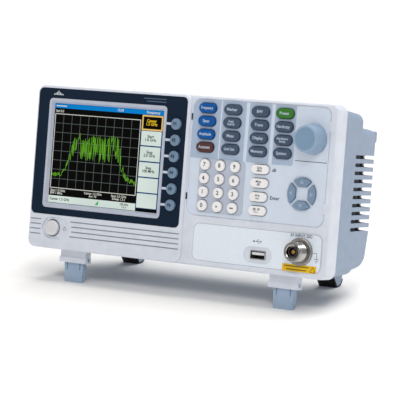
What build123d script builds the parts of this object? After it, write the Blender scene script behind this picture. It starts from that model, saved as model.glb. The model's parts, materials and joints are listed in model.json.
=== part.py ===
"""Bench spectrum analyzer on two folding front legs, as an assembly of separate pieces.

Every piece is drawn in the case frame: X to the right, Y from the front to the back,
Z up, with Y = 0 on the front rim and Z = 0 on the lower edge of the bezel.
At the end the whole instrument is leaned back on its legs and rear feet.
"""
from build123d import *
import math
import os

os.makedirs("parts", exist_ok=True)

# ---- case: the sizes that the rest hangs on ----
case_width = 296.0
bezel_height = 138.5
half_width = case_width / 2
bezel_depth = 13.0
bezel_wall = 2.2
bezel_corner = 7.0
rim_round = 2.2
rim_wall = 2.0                  # front wall of the right half
block_front = -2.0              # the display block stands proud of the rim
block_right = 9.3
block_round = 1.7
block_wall_back = 1.0
slip = 0.2                      # gap around a piece that drops into a recess

# ---- display ----
window_left = 1.7 - half_width
window_right = block_right - 3.0
window_low = 28.8
window_high = bezel_height - 2.1
window_corner = 4.5
window_thickness = 1.3
window_seat = -0.8
screen_width = 112.9
screen_height = 84.7
screen_x = window_right - 80.45
screen_z = window_high - 55.05
screen_face = 0.4
lcd_glass = 1.1
frame_border = 4.2
frame_corner = 3.5
frame_front = -2.4
frame_bevel = 1.6
frame_round = 0.5
opening_corner = 1.5
module_margin = 3.4             # metal body beyond the frame, behind the wall
module_back = 8.0

# ---- keypad panel ----
panel_left = block_right + 1.2
panel_right = half_width - 7.3
panel_low = 41.0
panel_high = bezel_height - 2.6
panel_corner = 7.5
panel_front = 0.8
panel_bevel = 0.8
panel_flange = 2.6
panel_flange_back = 4.0
pad_left = panel_left + 10.5
pad_right = panel_left + 53.7
pad_low = panel_low + 3.0
pad_high = panel_low + 46.5
pad_corner = 4.0
pad_rise = 0.4
snap_spots = (panel_high - 14.9, panel_low + 15.0)      # snap tabs and their release slots
snap_length = 9.0
snap_depth = 0.8
release_length = 5.5
release_width = 1.2
release_depth = 1.4
post_radius = 2.0
post_spots = (
    (panel_left + 4.0, panel_high - 23.9),
    (panel_left + 4.0, panel_low + 9.0),
    (panel_left + 76.5, panel_high - 23.9),
    (panel_left + 56.0, panel_low + 25.3),
    (panel_right - 3.7, panel_high - 5.4),
    (panel_right - 3.7, panel_low + 5.0),
)

# ---- keys ----
key_travel = 1.5
key_gap = 0.3
flange_lip = 0.7
flange_thickness = 1.0
flange_seat_gap = 0.05
stem_radius = 1.6
switch_face = 8.0               # front of the switches on the key board
stem_gap = 0.1
board_face = 11.2
board_thickness = 1.6

soft_x = window_right - 9.3
soft_top = screen_z + 32.35
soft_pitch = 13.35
soft_radius = 4.65
soft_front = -3.9
soft_edge = 0.8

function_columns = [panel_left + across for across in (14.5, 38.7, 65.0, 88.0)]
function_top = panel_high - 7.1
function_pitch = 10.65
function_width = 16.2
function_height = 7.9
function_front = -1.7
function_edge = 0.9
function_names = (
    ("frequency", "span", "amplitude", "autoset"),
    ("marker", "peak_search", "measure", "limit_line"),
    ("bandwidth", "trace", "display", "memory"),
    ("preset", "hardcopy", "hardware", "system"),
)

digit_columns = [panel_left + across for across in (16.2, 30.8, 45.2)]
digit_top = panel_low + 41.8
digit_pitch = 11.1
digit_radius = 4.4
digit_front = -2.0
digit_edge = 0.8
digit_names = (("7", "8", "9"), ("4", "5", "6"), ("1", "2", "3"), ("0", "point", "sign"))

unit_x = panel_left + 69.0
unit_width = 16.0
unit_height = 7.4
unit_front = -1.9
unit_edge = 0.8
unit_names = ("ghz", "mhz", "khz", "backspace")

arrow_x = panel_right - 21.5
arrow_z = panel_low + 25.3
arrow_well_radius = 14.0
arrow_outer = 12.7
arrow_inner = 5.8
arrow_split = 2.0               # sets how far apart the four arrow keys stand
arrow_front = -0.9
arrow_edge = 0.5
arrow_names = ("right", "up", "left", "down")

power_x = 25.4 - half_width
power_z = 17.7
power_radius = 6.5
power_front = -4.3
power_edge = 1.8
power_well_left = 14.8 - half_width
power_well_right = 42.8 - half_width
power_well_height = 18.3
power_well_floor = -0.9

# ---- tuning knob ----
knob_x = panel_right - 14.7
knob_z = panel_high - 25.9
knob_face_radius = 10.6
knob_base_radius = 12.4
knob_front = -12.6
knob_back = 0.3
knob_cup_depth = 6.0
knob_cup_radius = 8.0
knob_hub_radius = 5.0
knob_edge = 0.9
knob_flutes = 12
flute_radius = 3.4
flute_depth = 0.45
shaft_radius = 3.0
shaft_fit = 0.08
encoder_face = 5.2

# ---- input panel ----
input_left = block_right + 9.7
input_right = half_width - 7.0
input_low = 4.4
input_high = 35.0
input_corner = 5.5
input_floor = 0.8
input_slope = 1.4
port_x = input_right - 19.0
port_z = 20.5
port_flange_radius = 11.2
port_thread_radius = 7.94
port_front = -12.4
port_flange_front = -2.0
port_bore_radius = 5.4
port_inner_radius = 4.05
port_bore_depth = 5.0
port_body_radius = 7.6
contact_radius = 1.55
contact_hole = 0.85
usb_x = port_x - 39.5
usb_z = 14.1
usb_width = 14.0
usb_height = 6.8
usb_shell = 0.4
usb_well_width = 26.5
usb_well_height = 13.0
usb_well_floor = 1.3
usb_back = 16.4

# ---- grooves under the window ----
groove_top = 24.2
groove_pitch = 4.17
groove_width = 1.0
groove_depth = 0.7
groove_left_end = 1.8 - half_width
groove_left_stop = power_well_left - 1.4
groove_right_end = block_right - 1.9
groove_starts = [power_well_right + past for past in (1.2, 2.8, 2.8, 1.2)]

# ---- legs ----
leg_x = half_width - 43.5
bracket_width = 26.0
bracket_front = 6.6
bracket_back = 14.2
bracket_drop = 10.5
bracket_lip_drop = 6.0
bracket_lip = 0.6
bracket_cheek = 2.5
bracket_skin = 1.3
hinge_y = 10.5
hinge_z = -7.3
hinge_radius = 1.5
hinge_fit = 0.08
leg_width_top = 19.6
leg_width_foot = 17.4
leg_knuckle = 2.3
leg_tip_y = 9.3
leg_tip_z = -27.3
leg_foot_land = 1.9
leg_wall = 1.8
leg_slot_width = 1.1
leg_slot_spread = 13.2
leg_slot_low = -16.8
leg_slot_high = -9.0
pin_inset = 0.5

# ---- rear cover ----
cover_wall = 2.5
cover_side_gap = 1.5            # the cover is this much narrower than the bezel each side
cover_back = 85.0
cover_low = 1.0
cover_high = bezel_height - 2.5
tier_one_back = cover_back - 35.0
tier_one_side = 3.2
tier_one_fall = 3.0
tier_one_rise = 2.6
tier_two_half_width = half_width - 6.0
tier_two_low = 5.4
tier_two_high = bezel_height - 14.9
tier_two_side = 7.0
tier_two_fall = 2.4
cover_corner = 7.0
cover_round = 4.0
heel_start_y = cover_back - 19.0
heel_start_z = 8.8
heel_end_y = cover_back - 4.7
heel_end_z = 17.0
heel_top_z = 38.0
bumper_x = half_width - 21.5
bumper_width = 13.0
bumper_corner = 1.5
bumper_low = tier_two_high - 12.6
bumper_high = tier_two_high - 3.4
bumper_back = cover_back + 5.5

vent_count = 10
vent_top = tier_two_high - 25.0
vent_pitch = 6.5
vent_height = 3.0
vent_front = cover_back - 47.0
vent_inner_x = half_width - 22.0
vent_corner_x = half_width - 17.0

# ---- rear feet ----
foot_x = half_width - 48.0
foot_width = 16.8
foot_front_y = cover_back - 14.5
foot_front_z = 9.4
foot_land_y = cover_back + 2.2
foot_land_z = -11.2
foot_land = 3.9
foot_heel_y = cover_back + 11.5
foot_heel_z = -3.7
foot_heel_round_y = cover_back + 9.9
foot_heel_round_z = -7.7
foot_top_y = cover_back + 10.3
foot_top_z = 24.0
foot_merge_z = 48.0
foot_rubber = 1.5

# ---- boards and modules inside ----
main_face = 18.0
main_left = 17.0 - half_width
main_right = half_width - 17.0
main_low = 30.0
main_high = tier_two_high - 5.6
rf_left = half_width - 86.0
rf_right = half_width - 17.0
rf_low = 15.5
rf_high = tier_two_high - 20.6
shield_wall = 2.0
shield_rib = 4.0
shield_corner = 2.0
rf_back = cover_back - 15.0
supply_face = cover_back - 41.0
supply_left = 24.0 - half_width
supply_right = 110.0 - half_width
supply_low = tier_two_high - 68.6
supply_high = tier_two_high - 11.6
inlet_x = 90.0 - half_width
inlet_z = 50.6
inlet_width = 27.0
inlet_height = 19.6
inlet_flange = 2.4
inlet_plate = 2.0
inlet_corner = 3.0
inlet_depth = 20.0
inlet_socket_depth = 16.0
inlet_pin_spread = 7.0
inlet_pin_width = 2.0
inlet_pin_recess = 6.5

# ---- case screws ----
screw_radius = 1.5
screw_head_radius = 2.9
screw_head = 1.9
screw_head_round = 0.6
screw_length = 9.0
screw_column_radius = 4.4
tab_half_width = 4.0
tab_back = 22.0
top_screw_x = panel_left + 51.8
top_screw_z = bezel_height - 10.9
bottom_screw_x = 50.0
bottom_screw_y = 17.5
tab_low_height = 8.0


# Ground line under the leg tips and the rear feet, in the case frame
lean = math.atan2(foot_land_z - leg_tip_z, foot_land_y - leg_tip_y)


def ground_z(y):
    """Height of the bench under a point of the case frame."""
    return leg_tip_z + (y - leg_tip_y) * math.tan(lean)


def facing(depth):
    """Plane parallel to the front at a depth; a negative extrude goes towards the back."""
    return Plane.XZ.offset(-depth)


def middle(low, high):
    return (low + high) / 2


finished = {}


def finish(name, builder):
    """Keep a finished piece under its name."""
    builder.part.label = name
    finished[name] = builder.part


# ---- outlines that a key, its flange and its hole share ----
def soft_outline(margin):
    Circle(soft_radius + margin)


def function_outline(margin):
    SlotOverall(function_width + 2 * margin, function_height + 2 * margin)


def digit_outline(margin):
    Circle(digit_radius + margin)


def unit_outline(margin):
    SlotOverall(unit_width + 2 * margin, unit_height + 2 * margin)


def power_outline(margin):
    Circle(power_radius + margin)


def arrow_outline(margin):
    """A quarter of the arrow ring, pointing along +X, with a straight inner side."""
    inner = arrow_inner - margin
    split = arrow_split - margin * math.sqrt(2)
    outer = arrow_outer + margin
    half = inner - split
    reach = outer - split
    Polygon((inner, -half), (outer, -reach), (outer, reach), (inner, half), align=None)
    Circle(outer, mode=Mode.INTERSECT)


soft_spots = [(soft_x, soft_top - row * soft_pitch) for row in range(6)]
function_spots = [(x, function_top - row * function_pitch) for x in function_columns for row in range(4)]
digit_spots = [(x, digit_top - row * digit_pitch) for row in range(4) for x in digit_columns]
unit_spots = [(unit_x, digit_top - row * digit_pitch) for row in range(4)]
arrow_spots = [Location((arrow_x, arrow_z), quarter * 90) for quarter in range(4)]


# ---- front bezel ----
inside_width = case_width - 2 * bezel_wall
inside_height = bezel_height - 2 * bezel_wall
bezel_z = bezel_height / 2
block_width = block_right + half_width
block_x = middle(-half_width, block_right)
window_width = window_right - window_left
window_height = window_high - window_low
window_centre = (middle(window_left, window_right), middle(window_low, window_high))
frame_width = screen_width + 2 * frame_border
frame_height = screen_height + 2 * frame_border
panel_width = panel_right - panel_left
panel_height = panel_high - panel_low
panel_centre = (middle(panel_left, panel_right), middle(panel_low, panel_high))
input_width = input_right - input_left
input_height = input_high - input_low
input_centre = (middle(input_left, input_right), middle(input_low, input_high))
power_well_width = power_well_right - power_well_left
cover_inner_low = cover_low + cover_wall
cover_inner_high = cover_high - cover_wall
tab_floor = cover_inner_low + tier_one_rise
tab_top_high = cover_inner_high - tier_one_fall - slip
block_inside_right = panel_left - panel_flange - 2 * slip - bezel_wall

with BuildPart() as front_bezel:
    with BuildSketch(facing(0)):
        with Locations((0, bezel_z)):
            RectangleRounded(case_width, bezel_height, bezel_corner)
    extrude(amount=-bezel_depth)
    fillet(front_bezel.faces().sort_by(Axis.Y)[0].edges(), rim_round)
    with BuildSketch(facing(block_front)):
        with Locations((block_x, bezel_z)):
            RectangleRounded(block_width, bezel_height, bezel_corner)
    extrude(amount=block_front - bezel_depth / 2)
    fillet(front_bezel.faces().sort_by(Axis.Y)[0].edges(), block_round)
    # hollow behind the front wall, deeper behind the display block
    with BuildSketch(facing(rim_wall)):
        with Locations((0, bezel_z)):
            RectangleRounded(inside_width, inside_height, bezel_corner - bezel_wall)
    extrude(amount=rim_wall - bezel_depth, mode=Mode.SUBTRACT)
    with BuildSketch(facing(block_wall_back)):
        with Locations((middle(-inside_width / 2, block_inside_right), bezel_z)):
            RectangleRounded(block_inside_right + inside_width / 2, inside_height, bezel_corner - bezel_wall)
    extrude(amount=block_wall_back - rim_wall, mode=Mode.SUBTRACT)
    # seat of the display window, opening of the display and holes of the soft keys
    with BuildSketch(facing(block_front)):
        with Locations(window_centre):
            RectangleRounded(window_width, window_height, window_corner)
    extrude(amount=block_front - window_seat, mode=Mode.SUBTRACT)
    with BuildSketch(facing(window_seat)):
        with Locations((screen_x, screen_z)):
            RectangleRounded(frame_width + 2 * slip, frame_height + 2 * slip, frame_corner)
        with Locations(soft_spots):
            soft_outline(key_gap)
    extrude(amount=window_seat - block_wall_back, mode=Mode.SUBTRACT)
    # power button well
    with BuildSketch(facing(block_front)):
        with Locations((middle(power_well_left, power_well_right), power_z)):
            SlotOverall(power_well_width, power_well_height)
    extrude(amount=block_front - power_well_floor, mode=Mode.SUBTRACT)
    with BuildSketch(facing(power_well_floor)):
        with Locations((power_x, power_z)):
            power_outline(key_gap)
    extrude(amount=power_well_floor - block_wall_back, mode=Mode.SUBTRACT)
    # grooves either side of the power button
    with BuildSketch(facing(block_front)):
        for row, start in enumerate(groove_starts):
            height = groove_top - row * groove_pitch
            with Locations((middle(start, groove_right_end), height)):
                SlotOverall(groove_right_end - start, groove_width)
            with Locations((middle(groove_left_end, groove_left_stop), height)):
                SlotOverall(groove_left_stop - groove_left_end, groove_width)
    extrude(amount=-groove_depth, mode=Mode.SUBTRACT)
    # opening of the keypad panel, bevelled down to the panel's face
    with BuildSketch(facing(0)):
        with Locations(panel_centre):
            RectangleRounded(panel_width, panel_height, panel_corner)
    extrude(amount=-rim_wall, mode=Mode.SUBTRACT)
    with BuildSketch(facing(0)):
        with Locations(panel_centre):
            RectangleRounded(
                panel_width + 2 * panel_bevel, panel_height + 2 * panel_bevel, panel_corner + panel_bevel
            )
    with BuildSketch(facing(panel_front)):
        with Locations(panel_centre):
            RectangleRounded(panel_width, panel_height, panel_corner)
    loft(mode=Mode.SUBTRACT)
    # snap tabs on the right edge of that opening, release slots on the left
    with BuildSketch(facing(0)):
        for height in snap_spots:
            with Locations((panel_right, height)):
                RectangleRounded(2 * snap_depth, snap_length, snap_depth / 2)
    extrude(amount=-rim_wall)
    with BuildSketch(facing(0)):
        for height in snap_spots:
            with Locations((panel_left - release_width / 2, height)):
                Rectangle(release_width, release_length)
    extrude(amount=-release_depth, mode=Mode.SUBTRACT)
    # sunk input panel with sloping sides, then the well and opening of the data port
    with BuildSketch(facing(0)):
        with Locations(input_centre):
            RectangleRounded(
                input_width + 2 * input_slope, input_height + 2 * input_slope, input_corner + input_slope
            )
    with BuildSketch(facing(input_floor)):
        with Locations(input_centre):
            RectangleRounded(input_width, input_height, input_corner)
    loft(mode=Mode.SUBTRACT)
    with BuildSketch(facing(input_floor)):
        with Locations((usb_x, usb_z)):
            SlotOverall(usb_well_width, usb_well_height)
    extrude(amount=input_floor - usb_well_floor, mode=Mode.SUBTRACT)
    with BuildSketch(facing(0)):
        with Locations((usb_x, usb_z)):
            Rectangle(usb_width + 2 * slip, usb_height + 2 * slip)
        with Locations((port_x, port_z)):
            Circle(port_body_radius + slip)
    extrude(amount=-rim_wall, mode=Mode.SUBTRACT)
    # tabs behind the joint that take the case screws
    with BuildSketch(Plane.YZ.offset(-top_screw_x - tab_half_width)) as top_tab:
        tab_front = module_back + key_gap
        tab_low = top_screw_z - tab_half_width
        with BuildLine():
            Polyline(
                (tab_front, bezel_height - bezel_wall / 2),
                (tab_front, tab_low),
                (tab_back, tab_low),
                (tab_back, tab_top_high),
                (bezel_depth, tab_top_high),
                (bezel_depth, bezel_height - bezel_wall / 2),
                close=True,
            )
        make_face()
    extrude(amount=2 * tab_half_width)
    with BuildSketch(Plane.YZ.offset(top_screw_x - tab_half_width)):
        add(top_tab.sketch_local)
    extrude(amount=2 * tab_half_width)
    for side in (-1, 1):
        with BuildSketch(Plane.YZ.offset(side * bottom_screw_x - tab_half_width)):
            with BuildLine():
                Polyline(
                    (tab_front, bezel_wall / 2),
                    (bezel_depth, bezel_wall / 2),
                    (bezel_depth, tab_floor),
                    (tab_back, tab_floor),
                    (tab_back, tab_floor + tab_low_height),
                    (tab_front, tab_floor + tab_low_height),
                    close=True,
                )
            make_face()
        extrude(amount=2 * tab_half_width)
    with BuildSketch(facing(tab_back)):
        with Locations((-top_screw_x, top_screw_z), (top_screw_x, top_screw_z)):
            Circle(screw_radius + slip / 2)
    extrude(amount=screw_length, mode=Mode.SUBTRACT)
    with BuildSketch(Plane.XY.offset(cover_low)):
        with Locations((-bottom_screw_x, bottom_screw_y), (bottom_screw_x, bottom_screw_y)):
            Circle(screw_radius + slip / 2)
    extrude(amount=tab_floor - cover_low - cover_wall + screw_length + slip, mode=Mode.SUBTRACT)
    # leg brackets: a front skin and two cheeks, open below and behind
    for side in (-1, 1):
        cheek_inside = bracket_width / 2 - bracket_cheek
        with BuildSketch(Plane.XY):
            with Locations((side * leg_x, middle(bracket_front, bracket_back))):
                Rectangle(bracket_width, bracket_back - bracket_front)
        extrude(amount=-bracket_drop)
        with BuildSketch(Plane.XY):
            with Locations((side * leg_x, middle(bracket_front, bezel_depth))):
                Rectangle(bracket_width, bezel_depth - bracket_front)
        extrude(amount=bezel_wall / 2)
        with BuildSketch(Plane.XY.offset(-bracket_lip_drop)):
            with Locations((side * leg_x, middle(bracket_front - bracket_lip, bracket_back))):
                Rectangle(bracket_width + 2 * bracket_lip, bracket_back - bracket_front + bracket_lip)
        extrude(amount=bracket_lip_drop - bracket_drop)
        with BuildSketch(Plane.XY.offset(-bracket_skin)):
            with Locations((side * leg_x, middle(bracket_front + bracket_skin, bracket_back))):
                Rectangle(2 * cheek_inside, bracket_back - bracket_front - bracket_skin)
        extrude(amount=bracket_skin - bracket_drop, mode=Mode.SUBTRACT)
        with BuildSketch(Plane.YZ.offset(side * leg_x)):
            with Locations((hinge_y, hinge_z)):
                Circle(hinge_radius + hinge_fit)
        extrude(amount=bracket_width, both=True, mode=Mode.SUBTRACT)
finish("front_bezel", front_bezel)

# ---- display window and display module ----
with BuildPart() as display_window:
    with BuildSketch(facing(window_seat - window_thickness)):
        with Locations(window_centre):
            RectangleRounded(window_width - 2 * slip, window_height - 2 * slip, window_corner - slip)
        with Locations((screen_x, screen_z)):
            RectangleRounded(
                frame_width + 2 * slip, frame_height + 2 * slip, frame_corner, mode=Mode.SUBTRACT
            )
        with Locations(soft_spots):
            Circle(soft_radius + key_gap, mode=Mode.SUBTRACT)
    extrude(amount=-window_thickness)
finish("display_window", display_window)

with BuildPart() as lcd_module:
    with BuildSketch(facing(frame_front)):
        with Locations((screen_x, screen_z)):
            RectangleRounded(frame_width, frame_height, frame_corner)
    extrude(amount=frame_front - block_wall_back)
    fillet(lcd_module.faces().sort_by(Axis.Y)[0].edges(), frame_round)
    with BuildSketch(facing(block_wall_back)):
        with Locations((screen_x, screen_z)):
            Rectangle(frame_width + 2 * module_margin, frame_height + 2 * module_margin)
    extrude(amount=block_wall_back - module_back)
    # bevelled opening down to the glass
    with BuildSketch(facing(frame_front)):
        with Locations((screen_x, screen_z)):
            RectangleRounded(screen_width + 2 * frame_bevel, screen_height + 2 * frame_bevel, opening_corner)
    with BuildSketch(facing(screen_face)):
        with Locations((screen_x, screen_z)):
            RectangleRounded(screen_width, screen_height, frame_round)
    loft(mode=Mode.SUBTRACT)
    with BuildSketch(facing(screen_face)):
        with Locations((screen_x, screen_z)):
            Rectangle(screen_width, screen_height)
    extrude(amount=-lcd_glass, mode=Mode.SUBTRACT)

with BuildPart() as lcd_panel:
    with BuildSketch(facing(screen_face)):
        with Locations((screen_x, screen_z)):
            Rectangle(screen_width, screen_height)
    extrude(amount=-lcd_glass)

lcd_module.part.label = "lcd_module"
finished["lcd_module"] = Compound(children=[lcd_module.part, lcd_panel.part], label="lcd_module")

# ---- keypad panel ----
with BuildPart() as keypad_panel:
    with BuildSketch(facing(rim_wall)):
        with Locations((panel_centre[0], middle(panel_low - panel_flange, bezel_height - bezel_wall - slip))):
            RectangleRounded(
                panel_width + 2 * panel_flange,
                bezel_height - bezel_wall - slip - panel_low + panel_flange,
                bezel_corner - bezel_wall,
            )
    extrude(amount=rim_wall - panel_flange_back)
    with BuildSketch(facing(panel_front)):
        with Locations(panel_centre):
            RectangleRounded(panel_width - 2 * slip, panel_height - 2 * slip, panel_corner - slip)
    extrude(amount=panel_front - rim_wall)
    with BuildSketch(facing(panel_front)):
        for height in snap_spots:
            with Locations((panel_right, height)):
                Rectangle(2 * (snap_depth + slip), snap_length + 2 * slip)
    extrude(amount=panel_front - rim_wall, mode=Mode.SUBTRACT)
    with BuildSketch(facing(panel_front)):
        with Locations((arrow_x, arrow_z)):
            Circle(arrow_well_radius)
    extrude(amount=-pad_rise, mode=Mode.SUBTRACT)
    with BuildSketch(facing(panel_front - pad_rise)):
        with Locations((middle(pad_left, pad_right), middle(pad_low, pad_high))):
            RectangleRounded(pad_right - pad_left, pad_high - pad_low, pad_corner)
    extrude(amount=-pad_rise)
    with BuildSketch(facing(panel_front - pad_rise)):
        with Locations(function_spots):
            function_outline(key_gap)
        with Locations(digit_spots):
            digit_outline(key_gap)
        with Locations(unit_spots):
            unit_outline(key_gap)
        with Locations((knob_x, knob_z)):
            Circle(shaft_radius + key_gap)
    extrude(amount=panel_front - pad_rise - panel_flange_back, mode=Mode.SUBTRACT)
    for spot in arrow_spots:
        with BuildSketch(facing(panel_front)):
            with Locations(spot):
                arrow_outline(key_gap)
        extrude(amount=panel_front - panel_flange_back, mode=Mode.SUBTRACT)
    with BuildSketch(facing(panel_flange_back)):
        with Locations(post_spots):
            Circle(post_radius)
    extrude(amount=panel_flange_back - board_face)
finish("keypad_panel", keypad_panel)


# ---- push keys ----
def push_key(name, spot, outline, front, seat, edge):
    """A cap, the flange that stops it behind its wall, and the stem over its switch."""
    flange_front = seat + flange_seat_gap
    flange_back = flange_front + flange_thickness
    stem_back = switch_face - key_travel - stem_gap
    with BuildPart() as key:
        with BuildSketch(facing(front)):
            with Locations(spot):
                outline(0)
        extrude(amount=front - flange_front)
        fillet(key.faces().sort_by(Axis.Y)[0].edges(), edge)
        with BuildSketch(facing(flange_front)):
            with Locations(spot):
                outline(flange_lip)
        extrude(amount=-flange_thickness)
        with BuildSketch(facing(flange_back)):
            with Locations(stem_spot(spot, outline)):
                Circle(stem_radius)
        extrude(amount=flange_back - stem_back)
    finish(name, key)


def stem_spot(spot, outline):
    """The stem stands in the middle of the cap."""
    if outline is arrow_outline:
        reach = middle(arrow_inner, arrow_outer)
        return spot * Location((reach, 0))
    return Location(spot)


for number, spot in enumerate(soft_spots, start=1):
    push_key(f"key_f{number}", spot, soft_outline, soft_front, block_wall_back, soft_edge)
for column, names in enumerate(function_names):
    for row, name in enumerate(names):
        spot = (function_columns[column], function_top - row * function_pitch)
        push_key(f"key_{name}", spot, function_outline, function_front, panel_flange_back, function_edge)
for row, names in enumerate(digit_names):
    for column, name in enumerate(names):
        spot = (digit_columns[column], digit_top - row * digit_pitch)
        push_key(f"key_{name}", spot, digit_outline, digit_front, panel_flange_back, digit_edge)
for name, spot in zip(unit_names, unit_spots):
    push_key(f"key_{name}", spot, unit_outline, unit_front, panel_flange_back, unit_edge)
for name, spot in zip(arrow_names, arrow_spots):
    push_key(f"key_arrow_{name}", spot, arrow_outline, arrow_front, panel_flange_back, arrow_edge)
push_key("power_button", (power_x, power_z), power_outline, power_front, block_wall_back, power_edge)

# ---- tuning knob on its shaft ----
with BuildPart() as tuning_knob:
    with BuildSketch(facing(knob_back)):
        with Locations((knob_x, knob_z)):
            Circle(knob_base_radius)
    with BuildSketch(facing(knob_front)):
        with Locations((knob_x, knob_z)):
            Circle(knob_face_radius)
    loft()
    fillet(tuning_knob.faces().sort_by(Axis.Y)[0].edges(), knob_edge)
    with BuildSketch(facing(knob_back)):
        with Locations((knob_x, knob_z)):
            with PolarLocations(knob_base_radius + flute_radius - flute_depth, knob_flutes):
                Circle(flute_radius)
    extrude(amount=knob_back - knob_front, mode=Mode.SUBTRACT)
    with BuildSketch(facing(knob_back)):
        with Locations((knob_x, knob_z)):
            Circle(knob_cup_radius)
            Circle(knob_hub_radius, mode=Mode.SUBTRACT)
    extrude(amount=knob_cup_depth, mode=Mode.SUBTRACT)
    with BuildSketch(facing(knob_back)):
        with Locations((knob_x, knob_z)):
            Circle(shaft_radius)
    extrude(amount=knob_back - board_face + stem_gap)
finish("tuning_knob", tuning_knob)

# ---- key board: circuit board, one switch behind every key, encoder ----
switch_size = 6.0
board_left = soft_x - soft_radius - flange_lip
board_low = panel_low
board_high = panel_high - bezel_wall
stem_centres = [Location(spot) for spot in soft_spots + function_spots + digit_spots + unit_spots]
stem_centres += [stem_spot(spot, arrow_outline) for spot in arrow_spots]

with BuildPart() as key_circuit:
    with BuildSketch(facing(board_face)):
        with Locations((middle(board_left, panel_right), middle(board_low, board_high))):
            Rectangle(panel_right - board_left, board_high - board_low)
        with Locations((top_screw_x, bezel_height)):
            Rectangle(
                2 * (tab_half_width + key_gap), 2 * (bezel_height - tab_low + key_gap), mode=Mode.SUBTRACT
            )
    extrude(amount=-board_thickness)

with BuildPart() as key_switches:
    with BuildSketch(facing(board_face)):
        with Locations(stem_centres):
            Rectangle(switch_size, switch_size)
    extrude(amount=board_face - switch_face)

with BuildPart() as encoder:
    with BuildSketch(facing(board_face)):
        with Locations((knob_x, knob_z)):
            Rectangle(13.0, 13.0)
            Circle(shaft_radius + shaft_fit, mode=Mode.SUBTRACT)
    extrude(amount=board_face - encoder_face)
finished["key_board"] = Compound(
    children=[key_circuit.part, *key_switches.part.solids(), encoder.part], label="key_board"
)

# ---- signal input connector ----
with BuildPart() as input_connector:
    with BuildSketch(Plane.YZ.offset(port_x)):
        with BuildLine():
            Polyline(
                (port_front, port_z + port_bore_radius),
                (port_front, port_z + port_thread_radius - 0.6),
                (port_front + 0.6, port_z + port_thread_radius),
                (port_flange_front, port_z + port_thread_radius),
                (port_flange_front, port_z + port_flange_radius),
                (input_floor, port_z + port_flange_radius),
                (input_floor, port_z + port_body_radius),
                (main_face + board_thickness, port_z + port_body_radius),
                (main_face + board_thickness, port_z),
                (port_front + port_bore_depth + 3.0, port_z),
                (port_front + port_bore_depth + 3.0, port_z + port_inner_radius),
                (port_front + port_bore_depth, port_z + port_inner_radius),
                (port_front + port_bore_depth, port_z + port_bore_radius),
                close=True,
            )
        make_face()
    revolve(axis=Axis((port_x, 0, port_z), (0, 1, 0)))

with BuildPart() as contact:
    with BuildSketch(facing(port_front + 1.6)):
        with Locations((port_x, port_z)):
            Circle(contact_radius)
            Circle(contact_hole, mode=Mode.SUBTRACT)
    extrude(amount=1.6 - port_bore_depth - 3.0)
finished["input_connector"] = Compound(children=[input_connector.part, contact.part], label="input_connector")

# ---- data port on its small board ----
usb_front = input_floor - 0.3
with BuildPart() as usb_shell_part:
    with BuildSketch(facing(usb_front)):
        with Locations((usb_x, usb_z)):
            Rectangle(usb_width, usb_height)
            Rectangle(usb_width - 2 * usb_shell, usb_height - 2 * usb_shell, mode=Mode.SUBTRACT)
    extrude(amount=usb_front - usb_back)

with BuildPart() as usb_tongue:
    with BuildSketch(facing(usb_front + 1.0)):
        with Locations((usb_x, usb_z + 1.1)):
            Rectangle(11.2, 1.9)
    extrude(amount=usb_front + 1.0 - usb_back)

with BuildPart() as usb_board:
    with BuildSketch(facing(usb_back)):
        with Locations((usb_x, middle(usb_z - 9.0, main_low + 5.0))):
            Rectangle(26.0, main_low + 5.0 - usb_z + 9.0)
    extrude(amount=usb_back - main_face)
finished["usb_port"] = Compound(
    children=[usb_shell_part.part, usb_tongue.part, usb_board.part], label="usb_port"
)

# ---- main board with chips, connectors and spacers ----
chip_table = (
    (-95.0, 88.0, 28.0, 28.0, 2.2),
    (-52.0, 92.0, 18.0, 18.0, 1.8),
    (-52.0, 62.0, 14.0, 20.0, 1.4),
    (-15.0, 78.0, 20.0, 20.0, 1.8),
    (20.0, 96.0, 12.0, 18.0, 1.4),
    (22.0, 58.0, 24.0, 10.0, 7.0),
    (-10.0, 44.0, 40.0, 6.0, 8.0),
)
with BuildPart() as main_circuit:
    with BuildSketch(facing(main_face)):
        with Locations((middle(main_left, main_right), middle(main_low, main_high))):
            Rectangle(main_right - main_left, main_high - main_low)
    extrude(amount=-board_thickness)

main_pieces = [main_circuit.part]
for chip_x, chip_z, chip_width, chip_height, chip_rise in chip_table:
    with BuildPart() as chip:
        with BuildSketch(facing(main_face + board_thickness)):
            with Locations((chip_x, chip_z)):
                Rectangle(chip_width, chip_height)
        extrude(amount=-chip_rise)
        chamfer(chip.faces().sort_by(Axis.Y)[-1].edges(), 0.3)
    main_pieces.append(chip.part)

with BuildPart() as spacers:
    with BuildSketch(facing(module_back)):
        with Locations((screen_x, screen_z)):
            with GridLocations(104.0, 62.0, 2, 2):
                Circle(3.0)
    extrude(amount=module_back - main_face)
finished["main_board"] = Compound(children=[*main_pieces, *spacers.part.solids()], label="main_board")

# ---- shielded radio module: tray and lid ----
rf_front = main_face + board_thickness
rf_centre = (middle(rf_left, rf_right), middle(rf_low, rf_high))
with BuildPart() as rf_tray:
    with BuildSketch(facing(rf_front)):
        with Locations(rf_centre):
            RectangleRounded(rf_right - rf_left, rf_high - rf_low, shield_corner)
    extrude(amount=rf_front - rf_back + shield_wall)
    with BuildSketch(facing(rf_front + shield_wall)):
        with Locations(rf_centre):
            with GridLocations((rf_right - rf_left) / 2, (rf_high - rf_low) / 3, 2, 3):
                RectangleRounded(
                    (rf_right - rf_left) / 2 - shield_rib, (rf_high - rf_low) / 3 - shield_rib, shield_corner
                )
    extrude(amount=rf_front - rf_back + 2 * shield_wall, mode=Mode.SUBTRACT)

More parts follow.
